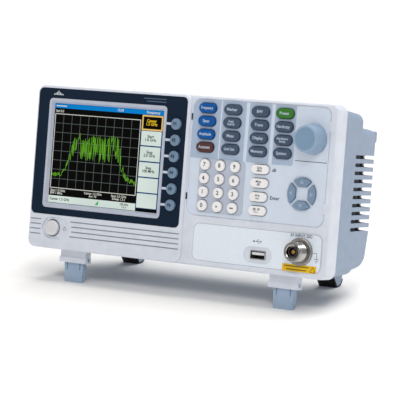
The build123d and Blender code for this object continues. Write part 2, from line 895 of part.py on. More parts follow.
with BuildPart() as rf_lid:
    with BuildSketch(facing(rf_back - shield_wall)):
        with Locations(rf_centre):
            RectangleRounded(rf_right - rf_left, rf_high - rf_low, shield_corner)
    extrude(amount=-shield_wall)
    chamfer(rf_lid.faces().sort_by(Axis.Y)[-1].edges(), shield_wall / 3)
finished["rf_module"] = Compound(children=[rf_tray.part, rf_lid.part], label="rf_module")

# ---- power supply: board, transformer, capacitors, heat sink, spacers ----
supply_centre = (middle(supply_left, supply_right), middle(supply_low, supply_high))
with BuildPart() as supply_circuit:
    with BuildSketch(facing(supply_face)):
        with Locations(supply_centre):
            Rectangle(supply_right - supply_left, supply_high - supply_low)
    extrude(amount=-board_thickness)

with BuildPart() as transformer:
    with BuildSketch(facing(supply_face + board_thickness)):
        with Locations((supply_centre[0] - 8.0, supply_centre[1])):
            RectangleRounded(30.0, 32.0, 1.5)
    extrude(amount=-22.0)
    chamfer(transformer.faces().sort_by(Axis.Y)[-1].edges(), 1.0)

with BuildPart() as capacitors:
    with BuildSketch(facing(supply_face + board_thickness)):
        with Locations((supply_centre[0] - 31.0, supply_centre[1] + 12.0)):
            Circle(8.0)
        with Locations((supply_centre[0] - 31.0, supply_centre[1] - 12.0)):
            Circle(7.0)
    extrude(amount=-24.0)

with BuildPart() as heat_sink:
    with BuildSketch(facing(supply_face + board_thickness)):
        with Locations((supply_centre[0] + 27.0, supply_centre[1])):
            Rectangle(3.0, 44.0)
            with GridLocations(0, 8.0, 1, 6):
                Rectangle(16.0, 1.6)
    extrude(amount=-22.0)

with BuildPart() as supply_spacers:
    with BuildSketch(facing(main_face + board_thickness)):
        with Locations(supply_centre):
            with GridLocations(78.0, 49.0, 2, 2):
                Circle(2.8)
    extrude(amount=main_face + board_thickness - supply_face)
finished["power_supply"] = Compound(
    children=[
        supply_circuit.part,
        transformer.part,
        *capacitors.part.solids(),
        heat_sink.part,
        *supply_spacers.part.solids(),
    ],
    label="power_supply",
)

# ---- mains inlet in the back wall ----
inlet_spot = (inlet_x, inlet_z)
with BuildPart() as inlet_body:
    with BuildSketch(facing(cover_back)):
        with Locations(inlet_spot):
            RectangleRounded(inlet_width + 2 * inlet_flange, inlet_height + 2 * inlet_flange, inlet_flange)
    extrude(amount=-inlet_plate)
    with BuildSketch(facing(cover_back)):
        with Locations(inlet_spot):
            Rectangle(inlet_width, inlet_height)
    extrude(amount=inlet_depth)
    with BuildSketch(facing(cover_back + inlet_plate)):
        with Locations(inlet_spot):
            RectangleRounded(inlet_width - 3.0, inlet_height - 3.2, inlet_corner)
    extrude(amount=inlet_socket_depth, mode=Mode.SUBTRACT)

with BuildPart() as inlet_pins:
    with BuildSketch(facing(cover_back + inlet_plate - inlet_socket_depth)):
        for across, up in ((-inlet_pin_spread, -1.5), (inlet_pin_spread, -1.5), (0, 2.5)):
            with Locations((inlet_x + across, inlet_z + up)):
                Rectangle(inlet_pin_width, 2 * inlet_pin_width)
    extrude(amount=inlet_pin_recess - inlet_socket_depth)
finished["power_inlet"] = Compound(children=[inlet_body.part, *inlet_pins.part.solids()], label="power_inlet")


# ---- rear cover ----
def cover_form(inset):
    """The two-tier form of the cover, drawn in by an inset: 0 outside, the wall inside."""
    corner = cover_corner - inset / 2
    half = half_width - cover_side_gap - inset
    low = cover_low + inset
    high = cover_high - inset
    one_back = tier_one_back - inset
    with BuildPart() as form:
        with BuildSketch(facing(bezel_depth)):
            with Locations((0, middle(low, high))):
                RectangleRounded(2 * half, high - low, corner)
        with BuildSketch(facing(one_back)):
            with Locations((0, middle(low + tier_one_rise, high - tier_one_fall))):
                RectangleRounded(
                    2 * (half - tier_one_side), high - low - tier_one_rise - tier_one_fall, corner
                )
        loft()
        fillet(form.faces().sort_by(Axis.Y)[-1].edges(), cover_round)
        two_half = tier_two_half_width - inset
        two_low = tier_two_low + inset
        two_high = tier_two_high - inset
        two_front = one_back - cover_round - cover_wall
        with BuildSketch(facing(two_front)):
            with Locations((0, middle(two_low, two_high))):
                RectangleRounded(2 * two_half, two_high - two_low, corner)
        with BuildSketch(facing(cover_back - inset)):
            with Locations((0, middle(two_low, two_high - tier_two_fall))):
                RectangleRounded(
                    2 * (two_half - tier_two_side), two_high - tier_two_fall - two_low, corner
                )
        loft()
        # slope and curve under the back
        with BuildSketch(Plane.YZ.offset(-half_width)):
            start = (heel_start_y - inset, heel_start_z + inset)
            end = (heel_end_y - inset, heel_end_z + inset / 2)
            with BuildLine():
                run = Line((tier_one_back - inset, tier_two_low + inset), start)
                bend = TangentArc(start, end, tangent=run % 1)
                rise = Line(bend @ 1, (cover_back - inset, heel_top_z))
                Polyline(
                    rise @ 1,
                    (cover_back + bezel_depth, heel_top_z),
                    (cover_back + bezel_depth, -bezel_depth),
                    (tier_one_back - inset, -bezel_depth),
                    run @ 0,
                )
            make_face()
        extrude(amount=case_width, mode=Mode.SUBTRACT)
    return form.part


outer_form = cover_form(0)
inner_form = cover_form(cover_wall)


def foot_profile(inset):
    """Side view of a rear foot, drawn in by an inset along its front and underside."""
    shift = inset / math.cos(lean)
    slope = math.atan2(foot_front_z - foot_land_z, foot_land_y - foot_front_y)
    step_y = inset / math.sin(slope)
    with BuildLine() as outline:
        front = Line(
            (foot_front_y + step_y, foot_front_z),
            (foot_land_y + step_y - shift / math.tan(slope), foot_land_z + shift),
        )
        land = Line(front @ 1, (foot_land_y + foot_land, ground_z(foot_land_y + foot_land) + shift))
        heel = ThreePointArc(
            land @ 1,
            (foot_heel_round_y - inset * 0.7, foot_heel_round_z + inset * 0.7),
            (foot_heel_y - inset, foot_heel_z),
        )
        Polyline(
            heel @ 1,
            (foot_top_y - inset, foot_top_z),
            (cover_back - cover_wall / 2, foot_merge_z),
            (cover_back - cover_wall / 2, heel_end_z + cover_wall),
            (foot_front_y + step_y, heel_start_z + cover_wall / 2),
            front @ 0,
        )
    make_face(outline.edges())


with BuildPart() as rear_cover:
    add(outer_form)
    # moulded heels that carry the rubber feet, then the hollow
    for side in (-1, 1):
        with BuildSketch(Plane.YZ.offset(side * foot_x)):
            foot_profile(foot_rubber)
        extrude(amount=foot_width / 2, both=True)
    add(inner_form, mode=Mode.SUBTRACT)
    # corner bumpers at the top of the back
    with BuildSketch(facing(bumper_back)):
        for across in (-bumper_x, bumper_x):
            with Locations((across, middle(bumper_low, bumper_high))):
                RectangleRounded(bumper_width, bumper_high - bumper_low, bumper_corner)
    extrude(amount=bumper_back - cover_back + cover_wall / 2)
    # vents that wrap round both rear corners
    vent_z = [vent_top - row * vent_pitch for row in range(vent_count)]
    side_reach = half_width - vent_corner_x
    with BuildSketch(Plane.YZ.offset(vent_corner_x)) as vent_sides:
        for height in vent_z:
            with Locations((middle(vent_front, cover_back + bezel_depth), height)):
                SlotOverall(cover_back + bezel_depth - vent_front, vent_height)
    extrude(amount=side_reach, mode=Mode.SUBTRACT)
    with BuildSketch(Plane.YZ.offset(-vent_corner_x)):
        add(vent_sides.sketch_local)
    extrude(amount=-side_reach, mode=Mode.SUBTRACT)
    with BuildSketch(facing(cover_back)):
        for height in vent_z:
            with Locations((middle(vent_inner_x, half_width), height)):
                SlotOverall(half_width - vent_inner_x, vent_height)
            with Locations((-middle(vent_inner_x, half_width), height)):
                SlotOverall(half_width - vent_inner_x, vent_height)
    extrude(amount=cover_wall + slip, both=True, mode=Mode.SUBTRACT)
    # mains inlet hole
    with BuildSketch(facing(cover_back)):
        with Locations(inlet_spot):
            Rectangle(inlet_width + 2 * slip, inlet_height + 2 * slip)
    extrude(amount=inlet_depth / 2, both=True, mode=Mode.SUBTRACT)
    # columns from the first tier to the upper tabs, with a well for each screw
    column_wall = tier_one_back - cover_wall
    with BuildSketch(facing(tab_back)):
        with Locations((-top_screw_x, top_screw_z), (top_screw_x, top_screw_z)):
            Circle(screw_column_radius)
    extrude(amount=tab_back - column_wall - cover_wall / 2)
    with BuildSketch(facing(tab_back)):
        with Locations((-top_screw_x, top_screw_z), (top_screw_x, top_screw_z)):
            Circle(screw_radius + slip)
    extrude(amount=tab_back - tier_one_back, mode=Mode.SUBTRACT)
    with BuildSketch(facing(tab_back + cover_wall)):
        with Locations((-top_screw_x, top_screw_z), (top_screw_x, top_screw_z)):
            Circle(screw_head_radius + slip)
    extrude(amount=tab_back - tier_one_back, mode=Mode.SUBTRACT)
    # countersunk wells under the lower tabs
    with BuildSketch(Plane.XY.offset(tab_floor)):
        with Locations((-bottom_screw_x, bottom_screw_y), (bottom_screw_x, bottom_screw_y)):
            Circle(screw_column_radius)
    extrude(amount=cover_low + cover_wall / 2 - tab_floor)
    with BuildSketch(Plane.XY.offset(tab_floor)):
        with Locations((-bottom_screw_x, bottom_screw_y), (bottom_screw_x, bottom_screw_y)):
            Circle(screw_radius + slip)
    extrude(amount=-tab_floor, mode=Mode.SUBTRACT)
    with BuildSketch(Plane.XY.offset(tab_floor - cover_wall)):
        with Locations((-bottom_screw_x, bottom_screw_y), (bottom_screw_x, bottom_screw_y)):
            Circle(screw_head_radius + slip)
    extrude(amount=cover_wall - tab_floor, mode=Mode.SUBTRACT)
finish("rear_cover", rear_cover)

# ---- rubber feet: a skin over the front and underside of each moulded heel ----
foot_pads = []
for side in (-1, 1):
    with BuildPart() as rubber:
        with BuildSketch(Plane.YZ.offset(side * foot_x)):
            foot_profile(0)
        extrude(amount=foot_width / 2, both=True)
        with BuildSketch(Plane.YZ.offset(side * foot_x)):
            foot_profile(foot_rubber)
        extrude(amount=foot_width / 2, both=True, mode=Mode.SUBTRACT)
        add(outer_form, mode=Mode.SUBTRACT)
        with BuildSketch(Plane.XY.offset(foot_heel_z)):
            with Locations((side * foot_x, foot_land_y)):
                Rectangle(2 * foot_width, case_width)
        extrude(amount=bezel_height, mode=Mode.SUBTRACT)
    foot_pads.append(rubber.part)
finished["rear_feet"] = Compound(children=foot_pads, label="rear_feet")

# ---- case screws ----
screws = []
for side in (-1, 1):
    with BuildPart() as top_screw:
        with BuildSketch(facing(tab_back + cover_wall)):
            with Locations((side * top_screw_x, top_screw_z)):
                Circle(screw_radius)
        extrude(amount=screw_length)
        with BuildSketch(facing(tab_back + cover_wall)):
            with Locations((side * top_screw_x, top_screw_z)):
                Circle(screw_head_radius)
        extrude(amount=-screw_head)
        fillet(top_screw.faces().sort_by(Axis.Y)[-1].edges(), screw_head_round)
    with BuildPart() as bottom_screw:
        with BuildSketch(Plane.XY.offset(tab_floor - cover_wall)):
            with Locations((side * bottom_screw_x, bottom_screw_y)):
                Circle(screw_radius)
        extrude(amount=screw_length)
        with BuildSketch(Plane.XY.offset(tab_floor - cover_wall)):
            with Locations((side * bottom_screw_x, bottom_screw_y)):
                Circle(screw_head_radius)
        extrude(amount=-screw_head)
        fillet(bottom_screw.faces().sort_by(Axis.Z)[0].edges(), screw_head_round)
    screws += [top_screw.part, bottom_screw.part]
finished["case_screws"] = Compound(children=screws, label="case_screws")


# ---- folding legs ----
def folding_leg(name, centre):
    """A tapered channel on two trunnions, with a flat land where it meets the bench."""
    front_lean = (leg_tip_y - (hinge_y - leg_knuckle)) / (hinge_z - leg_tip_z)
    land_end_y = leg_tip_y + leg_foot_land
    cheek_inside = bracket_width / 2 - bracket_cheek
    with BuildPart() as leg:
        with BuildSketch(Plane.YZ.offset(centre)):
            with BuildLine():
                knuckle = ThreePointArc(
                    (hinge_y + leg_knuckle, hinge_z),
                    (hinge_y, hinge_z + leg_knuckle),
                    (hinge_y - leg_knuckle, hinge_z),
                )
                front = Line(knuckle @ 1, (leg_tip_y, leg_tip_z))
                land = Line(front @ 1, (land_end_y, ground_z(land_end_y)))
                calf = Spline(
                    land @ 1, (13.2, -24.0), (14.3, -18.0), (hinge_y + leg_knuckle, hinge_z - 4.5)
                )
                Line(calf @ 1, knuckle @ 0)
            make_face()
        extrude(amount=leg_width_top / 2, both=True)
        # taper of both sides towards the foot
        with BuildSketch(facing(0)):
            with BuildLine():
                Polyline(
                    (centre - leg_width_top / 2, hinge_z + leg_knuckle),
                    (centre + leg_width_top / 2, hinge_z + leg_knuckle),
                    (centre + leg_width_top / 2, -bracket_drop),
                    (centre + leg_width_foot / 2, leg_tip_z - 1.0),
                    (centre - leg_width_foot / 2, leg_tip_z - 1.0),
                    (centre - leg_width_top / 2, -bracket_drop),
                    close=True,
                )
            make_face()
        extrude(amount=-2 * bezel_depth, mode=Mode.INTERSECT)
        # hollow back between the two side walls
        with BuildSketch(Plane.YZ.offset(centre)):
            with BuildLine():
                Polyline(
                    (hinge_y - leg_knuckle + leg_wall + 3.4 * front_lean, hinge_z - 3.4),
                    (leg_tip_y - leg_wall * front_lean + leg_wall, leg_tip_z + 2.6),
                    (2 * hinge_y, leg_tip_z + 2.6),
                    (2 * hinge_y, hinge_z - 3.4),
                    close=True,
                )
            make_face()
        extrude(amount=leg_width_foot / 2 - leg_wall, both=True, mode=Mode.SUBTRACT)
        # two slots in the front that free the spring tongue
        with BuildSketch(facing(0)):
            with Locations((centre, middle(leg_slot_low, leg_slot_high))):
                with GridLocations(leg_slot_spread, 0, 2, 1):
                    SlotOverall(leg_slot_high - leg_slot_low, leg_slot_width, rotation=90)
        extrude(amount=leg_wall - hinge_y - leg_foot_land / 2, mode=Mode.SUBTRACT)
        with BuildSketch(Plane.YZ.offset(centre)):
            with Locations((hinge_y, hinge_z)):
                Circle(hinge_radius)
        extrude(amount=bracket_width / 2 - pin_inset, both=True)
    finish(name, leg)


folding_leg("left_leg", -leg_x)
folding_leg("right_leg", leg_x)

# ---- stand the instrument on the bench, leaned back, origin under its middle ----
lean_back = Location((0, 0, 0), (-math.degrees(lean), 0, 0))
leaned = {name: piece.moved(lean_back) for name, piece in finished.items()}
reach = Compound(children=[piece.moved(Location()) for piece in leaned.values()]).bounding_box()
stand = Location((-reach.center().X, -reach.center().Y, -reach.min.Z))
for name, piece in leaned.items():
    standing = piece.moved(stand)
    standing.label = name
    export_step(standing, f"parts/{name}.step")
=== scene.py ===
import json
import math
import random

import bpy
import numpy as np
from mathutils import Matrix, Vector


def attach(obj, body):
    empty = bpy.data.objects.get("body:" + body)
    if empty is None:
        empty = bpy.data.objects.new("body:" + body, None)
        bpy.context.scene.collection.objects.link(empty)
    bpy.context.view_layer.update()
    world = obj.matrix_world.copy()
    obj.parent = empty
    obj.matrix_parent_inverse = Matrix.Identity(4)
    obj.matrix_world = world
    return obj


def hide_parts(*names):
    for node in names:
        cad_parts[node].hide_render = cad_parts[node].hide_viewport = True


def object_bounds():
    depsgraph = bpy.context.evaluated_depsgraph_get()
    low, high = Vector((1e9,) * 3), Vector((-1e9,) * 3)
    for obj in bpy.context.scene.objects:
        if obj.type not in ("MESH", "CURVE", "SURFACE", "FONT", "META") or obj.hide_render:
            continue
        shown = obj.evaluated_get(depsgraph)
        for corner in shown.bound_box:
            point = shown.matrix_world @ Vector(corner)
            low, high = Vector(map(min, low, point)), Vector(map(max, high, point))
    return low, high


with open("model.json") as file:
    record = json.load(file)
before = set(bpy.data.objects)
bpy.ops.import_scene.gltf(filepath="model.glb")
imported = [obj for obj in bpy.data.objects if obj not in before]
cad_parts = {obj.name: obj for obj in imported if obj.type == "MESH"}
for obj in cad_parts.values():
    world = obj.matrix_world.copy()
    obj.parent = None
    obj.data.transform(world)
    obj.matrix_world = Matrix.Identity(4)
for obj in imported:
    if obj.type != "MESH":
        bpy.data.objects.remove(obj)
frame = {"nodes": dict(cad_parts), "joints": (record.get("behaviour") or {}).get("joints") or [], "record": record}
cad_low, cad_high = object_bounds()
nodes = frame["nodes"]
joints = {joint["name"]: joint for joint in frame["joints"]}
scene = bpy.context.scene

# ---- the case's own frame, in millimetres: x right, y into the case, z up its leaning front ----
MM = 0.001
sideways = Vector((1, 0, 0))
inward = Vector(joints["power_button_press"]["axis"])
upward = sideways.cross(inward)
to_row = Matrix((sideways, inward, upward)).transposed().to_4x4() @ Matrix.Scale(MM, 4)
to_case = np.array(to_row.inverted())[:3, :3]


def span(name):
    """Lowest and highest corner of a CAD node in the case's frame."""
    corners = np.array([v.co for v in nodes[name].data.vertices]) @ to_case.T
    return Vector(corners.min(0)), Vector(corners.max(0))


def centre_of(name):
    low, high = span(name)
    return (low.x + high.x) / 2, (low.z + high.z) / 2


# ---- materials ----
def srgb(red, green, blue):
    """A colour given as 0 to 255, in linear light."""
    levels = [c / 255 for c in (red, green, blue)]
    linear = (c / 12.92 if c <= 0.04045 else ((c + 0.055) / 1.055) ** 2.4 for c in levels)
    return (*linear, 1.0)


def shade(colour, factor):
    return tuple(min(1.0, c * factor) for c in colour[:3]) + (1.0,)


class Graph:
    """Node graph of one material, with the parts that most finishes share."""

    def __init__(self, name):
        self.material = bpy.data.materials.new(name)
        self.material.use_nodes = True
        self.tree = self.material.node_tree
        self.shader = self.tree.nodes["Principled BSDF"]
        self.place = self.add("ShaderNodeTexCoord").outputs["Object"]

    def add(self, kind, **settings):
        node = self.tree.nodes.new(kind)
        for key, value in settings.items():
            if hasattr(node, key):
                setattr(node, key, value)
            else:
                node.inputs[key.replace("_", " ")].default_value = value
        return node

    def join(self, output, node, socket):
        self.tree.links.new(output, node.inputs[socket])

    def noise(self, size, detail=2.0, roughness=0.5):
        """Noise whose features are about size millimetres across."""
        scale = 1 / (size * MM)
        node = self.add("ShaderNodeTexNoise", Scale=scale, Detail=detail, Roughness=roughness)
        self.join(self.place, node, "Vector")
        return node.outputs["Fac"]

    def spread(self, value, low, high, start=0.3, end=0.7):
        """Value between start and end, spread to between low and high."""
        node = self.add("ShaderNodeMapRange")
        self.join(value, node, "Value")
        limits = {"From Min": start, "From Max": end, "To Min": low, "To Max": high}
        for socket, number in limits.items():
            node.inputs[socket].default_value = number
        return node.outputs["Result"]

    def mix(self, factor, first, second):
        node = self.add("ShaderNodeMix", data_type="RGBA")
        self.join(factor, node, 0)
        for socket, colour in ((6, first), (7, second)):
            if isinstance(colour, tuple):
                node.inputs[socket].default_value = colour
            else:
                self.join(colour, node, socket)
        return node.outputs[2]

    def bump(self, height, depth, strength=1.0, below=None):
        node = self.add("ShaderNodeBump", Strength=strength, Distance=depth * MM)
        self.join(height, node, "Height")
        if below is not None:
            self.join(below, node, "Normal")
        return node.outputs["Normal"]


def plastic(
    name, colour, gloss=0.45, grain=0.35, grain_depth=0.02, mottle=0.05, specular=0.4, coat=0.0
):
    """Moulded plastic: a fine spark-eroded grain over slight flow marks, its colour drifting by
    mottle. Gloss is the shader's roughness."""
    g = Graph(name)
    flow_size = 9.0
    cloud = g.noise(flow_size, 3.0)
    speck = g.noise(grain * 1.7, 2.0)
    drift = g.mix(g.spread(cloud, 0, 1), shade(colour, 1 - mottle), shade(colour, 1 + mottle))
    tint = g.mix(g.spread(speck, 0, 0.35, 0.35, 0.75), drift, shade(colour, 1 - 2.5 * mottle))
    g.join(tint, g.shader, "Base Color")
    g.join(g.spread(speck, gloss - 0.06, gloss + 0.08), g.shader, "Roughness")
    flow = g.bump(cloud, 0.05, 0.15)
    g.join(g.bump(g.noise(grain, 2.0), grain_depth, 0.6, flow), g.shader, "Normal")
    g.shader.inputs["Specular IOR Level"].default_value = specular
    g.shader.inputs["Coat Weight"].default_value = coat
    g.shader.inputs["Coat Roughness"].default_value = 0.12
    return g.material


def smooth_plastic(name, colour, gloss=0.4, mottle=0.05, specular=0.25):
    """Plastic of the small keys and of the knob's insets, with an almost flat grain."""
    return plastic(name, colour, gloss, 0.3, 0.01, mottle, specular)


def metal(name, colour, gloss=0.22, line=0.25, depth=0.01, drift=0.12):
    """Turned metal: tool lines, closer together for a smaller line, and slight tarnish."""
    g = Graph(name)
    stain_size = 2.5
    stain = g.noise(stain_size, 4.0, 0.6)
    g.join(g.mix(g.spread(stain, 0, 1), shade(colour, 1 - drift), colour), g.shader, "Base Color")
    g.join(g.spread(stain, gloss - 0.05, gloss + 0.1), g.shader, "Roughness")
    lines = g.add(
        "ShaderNodeTexWave", bands_direction="Y", Scale=1 / (line * MM), Distortion=1.5, Detail=2.0
    )
    g.join(g.place, lines, "Vector")
    g.join(g.bump(lines.outputs["Fac"], depth, 0.4), g.shader, "Normal")
    g.shader.inputs["Metallic"].default_value = 1.0
    return g.material


def rubber(name, colour):
    """Matt rubber with a little dust in its pores."""
    g = Graph(name)
    pore_size = 1.6
    dust = g.noise(pore_size, 5.0, 0.65)
    g.join(g.mix(g.spread(dust, 0, 1), colour, shade(colour, 1.9)), g.shader, "Base Color")
    g.join(g.spread(dust, 0.6, 0.85), g.shader, "Roughness")
    g.join(g.bump(g.noise(0.5), 0.05, 0.6), g.shader, "Normal")
    g.shader.inputs["Specular IOR Level"].default_value = 0.3
    return g.material


def ink(name, colour, gloss=0.5):
    """Screen print, and the painted shade lines drawn like it: slightly uneven cover, flat, with a fine tooth."""
    g = Graph(name)
    blotch_size = 0.7
    cover = g.noise(blotch_size, 3.0)
    tint = g.mix(g.spread(cover, 0, 1), shade(colour, 0.94), shade(colour, 1.05))
    g.join(tint, g.shader, "Base Color")
    g.join(g.spread(cover, gloss - 0.05, gloss + 0.1), g.shader, "Roughness")
    g.join(g.bump(g.noise(0.2), 0.01, 0.4), g.shader, "Normal")
    g.shader.inputs["Specular IOR Level"].default_value = 0.3
    return g.material


def lit(name, colour, glow=0.75, lines=0.12):
    """A colour of the lit display: glowing rows and columns of pixels, parted by lines a little
    darker, on a surface that reflects little."""
    g = Graph(name)
    pixel_pitch = 0.1764
    grid = g.add(
        "ShaderNodeTexBrick", offset=0.0, squash=1.0, Scale=1 / (pixel_pitch * MM), Mortar_Size=0.08
    )
    grid.inputs["Brick Width"].default_value = 1.0
    grid.inputs["Row Height"].default_value = 1.0
    turn = g.add("ShaderNodeMapping")
    lean = math.atan2(-inward.z, inward.y)
    turn.inputs["Rotation"].default_value = (math.pi / 2 - lean, 0, 0)
    g.join(g.place, turn, "Vector")
    g.join(turn.outputs["Vector"], grid, "Vector")
    backlight_size = 25.0
    uneven = g.spread(g.noise(backlight_size, 1.0), 0, 1)
    body = g.mix(uneven, shade(colour, 0.93), colour)
    pixels = g.mix(grid.outputs["Fac"], body, shade(colour, 1 - lines))
    g.join(pixels, g.shader, "Emission Color")
    g.join(g.mix(uneven, shade(colour, 0.1), shade(colour, 0.14)), g.shader, "Base Color")
    g.shader.inputs["Emission Strength"].default_value = glow
    g.shader.inputs["Roughness"].default_value = 0.35
    g.shader.inputs["Specular IOR Level"].default_value = 0.05
    return g.material


def circuit(name, colour, track):
    """Circuit board: copper tracks under solder mask."""
    g = Graph(name)
    track_pitch, blot_size = 3.2, 1.2
    bricks = g.add("ShaderNodeTexBrick", Scale=1 / (track_pitch * MM), Mortar_Size=0.04)
    for socket, tint in (("Color1", colour), ("Color2", shade(colour, 0.8)), ("Mortar", track)):
        bricks.inputs[socket].default_value = tint
    g.join(g.place, bricks, "Vector")
    blot = g.noise(blot_size, 3.0)
    mask = g.mix(g.spread(blot, 0, 0.4), bricks.outputs["Color"], shade(colour, 0.7))
    g.join(mask, g.shader, "Base Color")
    g.join(g.spread(blot, 0.25, 0.45), g.shader, "Roughness")
    g.join(g.bump(bricks.outputs["Fac"], 0.04, 0.5), g.shader, "Normal")
    return g.material


pale_grey = srgb(214, 219, 230)
grey_blue = srgb(146, 162, 184)
steel_blue = srgb(122, 144, 168)
navy = srgb(16, 33, 52)
print_blue = srgb(52, 70, 98)

finishes = {
    "bezel": plastic("bezel_plastic", pale_grey, 0.42),
    "cover": plastic("cover_plastic", grey_blue, 0.5, 0.45, 0.03),
    "window": plastic("window_plastic", navy, 0.34, 0.6, 0.006, 0.04, 0.1),
    "display": plastic("display_frame_plastic", srgb(182, 188, 204), 0.3, 0.3, 0.008, 0.05, 0.5),
    "panel": plastic("panel_plastic", srgb(208, 218, 232), 0.38, 0.3, 0.012, 0.025, 0.35),
    "soft_key": smooth_plastic("soft_key_plastic", srgb(112, 136, 160), 0.36),
    "blue_key": smooth_plastic("blue_key_plastic", srgb(0, 82, 154), mottle=0.06, specular=0.2),
    "brown_key": smooth_plastic("brown_key_plastic", srgb(84, 52, 50), mottle=0.06, specular=0.2),
    "slate_key": smooth_plastic("slate_key_plastic", srgb(66, 82, 102), mottle=0.06, specular=0.2),
    "green_key": smooth_plastic("green_key_plastic", srgb(54, 116, 42), mottle=0.06, specular=0.2),
    "white_key": smooth_plastic("white_key_plastic", srgb(238, 236, 236), 0.34, 0.02, 0.4),
    "arrow_key": smooth_plastic("arrow_key_plastic", steel_blue),
    "power_key": plastic(
        "power_key_plastic", srgb(214, 214, 218), 0.25, 0.4, 0.006, 0.02, 0.5, coat=0.3
    ),
    "knob": plastic("knob_plastic", srgb(134, 158, 182), 0.3, 0.35, 0.012, 0.04, 0.5),
    "leg": plastic("leg_plastic", srgb(158, 178, 203), 0.4, 0.4, 0.02, 0.05),
    "rubber": rubber("foot_rubber", srgb(15, 15, 17)),
    "connector": metal("nickel_plate", (0.46, 0.45, 0.44, 1.0), 0.16, 0.25, 0.004),
    "port_shell": metal("port_shell_metal", (0.62, 0.62, 0.6, 1.0), 0.28),
    "circuit_board": circuit("circuit_board_mask", srgb(20, 84, 50), srgb(64, 128, 84)),
    # the shield seen through the vents: its metal is darkened near to black, partly painted shade inside the vent
    # slots
    "shield": metal("shield_metal_and_vent_shade", (0.1, 0.1, 0.1, 1.0), 0.5, 0.8),
    "inlet": plastic("inlet_plastic", srgb(26, 26, 28), 0.36, 0.4, 0.015, 0.1),
    "screw": metal("screw_zinc", (0.55, 0.55, 0.56, 1.0), 0.3),
}
for part in frame["record"]["subparts"]:
    for cad_slot in nodes[part["node"]].material_slots:
        cad_slot.material = finishes[part["material_slot"]]


# ---- ways to make pieces ----
def piece(name, mesh, material, body):
    """Finish a mesh made in the case's frame: put it in the row frame on its body."""
    mesh.transform(to_row)
    mesh.materials.clear()
    mesh.materials.append(material)
    obj = bpy.data.objects.new(name, mesh)
    scene.collection.objects.link(obj)
    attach(obj, body)
    return obj


def solid_of(curve, lift):
    """Mesh of a curve or text drawn flat in x and y, stood up to face the user, its middle at
    y = lift."""
    drawn = bpy.data.objects.new("drawing", curve)
    scene.collection.objects.link(drawn)
    graph = bpy.context.evaluated_depsgraph_get()
    mesh = bpy.data.meshes.new_from_object(drawn.evaluated_get(graph))
    bpy.data.objects.remove(drawn)
    bpy.data.curves.remove(curve)
    mesh.transform(Matrix.Translation((0, lift, 0)) @ Matrix.Rotation(math.pi / 2, 4, "X"))
    return mesh


def printed(name, loops, face, thick, material, body="case"):
    """Flat shape standing thick proud of the face at y = face.
    Loops are lists of (x, z), and the inner ones cut holes."""
    curve = bpy.data.curves.new(name, "CURVE")
    curve.dimensions = "2D"
    curve.fill_mode = "BOTH"
    curve.extrude = thick / 2
    for loop in loops:
        spline = curve.splines.new("POLY")
        spline.points.add(len(loop) - 1)
        for point, (x, z) in zip(spline.points, loop):
            point.co = (x, z, 0, 1)
        spline.use_cyclic_u = True
    return piece(name, solid_of(curve, face - thick / 2), material, body)


def lettering(
    name, text, spot, face, size, material, body="case", thick=0.06, align="CENTER", wide=1.0
):
    """Text standing thick proud of the face, its middle at spot, a little bolder than the font."""
    curve = bpy.data.curves.new(name, "FONT")
    curve.body = text
    curve.size = size
    curve.align_x = align
    curve.align_y = "CENTER"
    curve.space_line = 0.82
    curve.extrude = thick / 2
    curve.resolution_u = 3
    curve.offset = 0.018 * size
    mesh = solid_of(curve, face - thick / 2)
    mesh.transform(Matrix.Translation((spot[0], 0, spot[1])) @ Matrix.Diagonal((wide, 1, 1, 1)))
    return piece(name, mesh, material, body)


BOX_FACES = (
    (0, 1, 2, 3), (7, 6, 5, 4), (0, 4, 5, 1), (1, 5, 6, 2), (2, 6, 7, 3), (3, 7, 4, 0)
)


def strokes(name, lines, width, face, thick, material, body="case"):
    """Straight strokes of one width, each a thin closed bar from (x, z) to (x, z)."""
    verts, faces = [], []
    for (x0, z0), (x1, z1) in lines:
        length = math.hypot(x1 - x0, z1 - z0)
        over_x = -(z1 - z0) / length * width / 2
        over_z = (x1 - x0) / length * width / 2
        first = len(verts)
        for y in (face - thick, face):
            verts += [(x0 + over_x, y, z0 + over_z), (x0 - over_x, y, z0 - over_z)]
            verts += [(x1 - over_x, y, z1 - over_z), (x1 + over_x, y, z1 + over_z)]
        for ring in BOX_FACES:
            faces.append([first + corner for corner in ring])
    mesh = bpy.data.meshes.new(name)
    mesh.from_pydata(verts, [], faces)
    return piece(name, mesh, material, body)


CREASE = math.radians(32)


def lathe(name, profile, centre, around, material, body, wave=None, creases=True):
    """Turned solid about the inward axis through centre, with around steps. The profile is a list
    of (y, radius), closed on the axis or on itself; wave(y, radius, angle) may give a point another
    radius."""
    verts, faces = [], []
    rings = []
    for y, radius in profile:
        if radius == 0:
            verts.append((centre[0], y, centre[1]))
            rings.append([len(verts) - 1] * around)
            continue
        start = len(verts)
        for step in range(around):
            angle = 2 * math.pi * step / around
            reach = wave(y, radius, angle) if wave else radius
            x, z = centre[0] + reach * math.cos(angle), centre[1] + reach * math.sin(angle)
            verts.append((x, y, z))
        rings.append(list(range(start, start + around)))
    for near, far in zip(rings, rings[1:]):
        for step in range(around):
            after = (step + 1) % around
            ring = [near[step], near[after], far[after], far[step]]
            ring = [v for i, v in enumerate(ring) if v not in ring[:i]]
            faces.append(ring)
    mesh = bpy.data.meshes.new(name)
    mesh.from_pydata(verts, [], faces)
    mesh.validate()
    mesh.shade_smooth()
    if creases:
        mesh.set_sharp_from_angle(angle=CREASE)
    return piece(name, mesh, material, body)


def arc(x, z, radius, start, end, steps):
    """Points of a circle about (x, z), from start to end in degrees."""
    angles = [math.radians(start + (end - start) * i / steps) for i in range(steps + 1)]
    return [(x + radius * math.cos(a), z + radius * math.sin(a)) for a in angles]


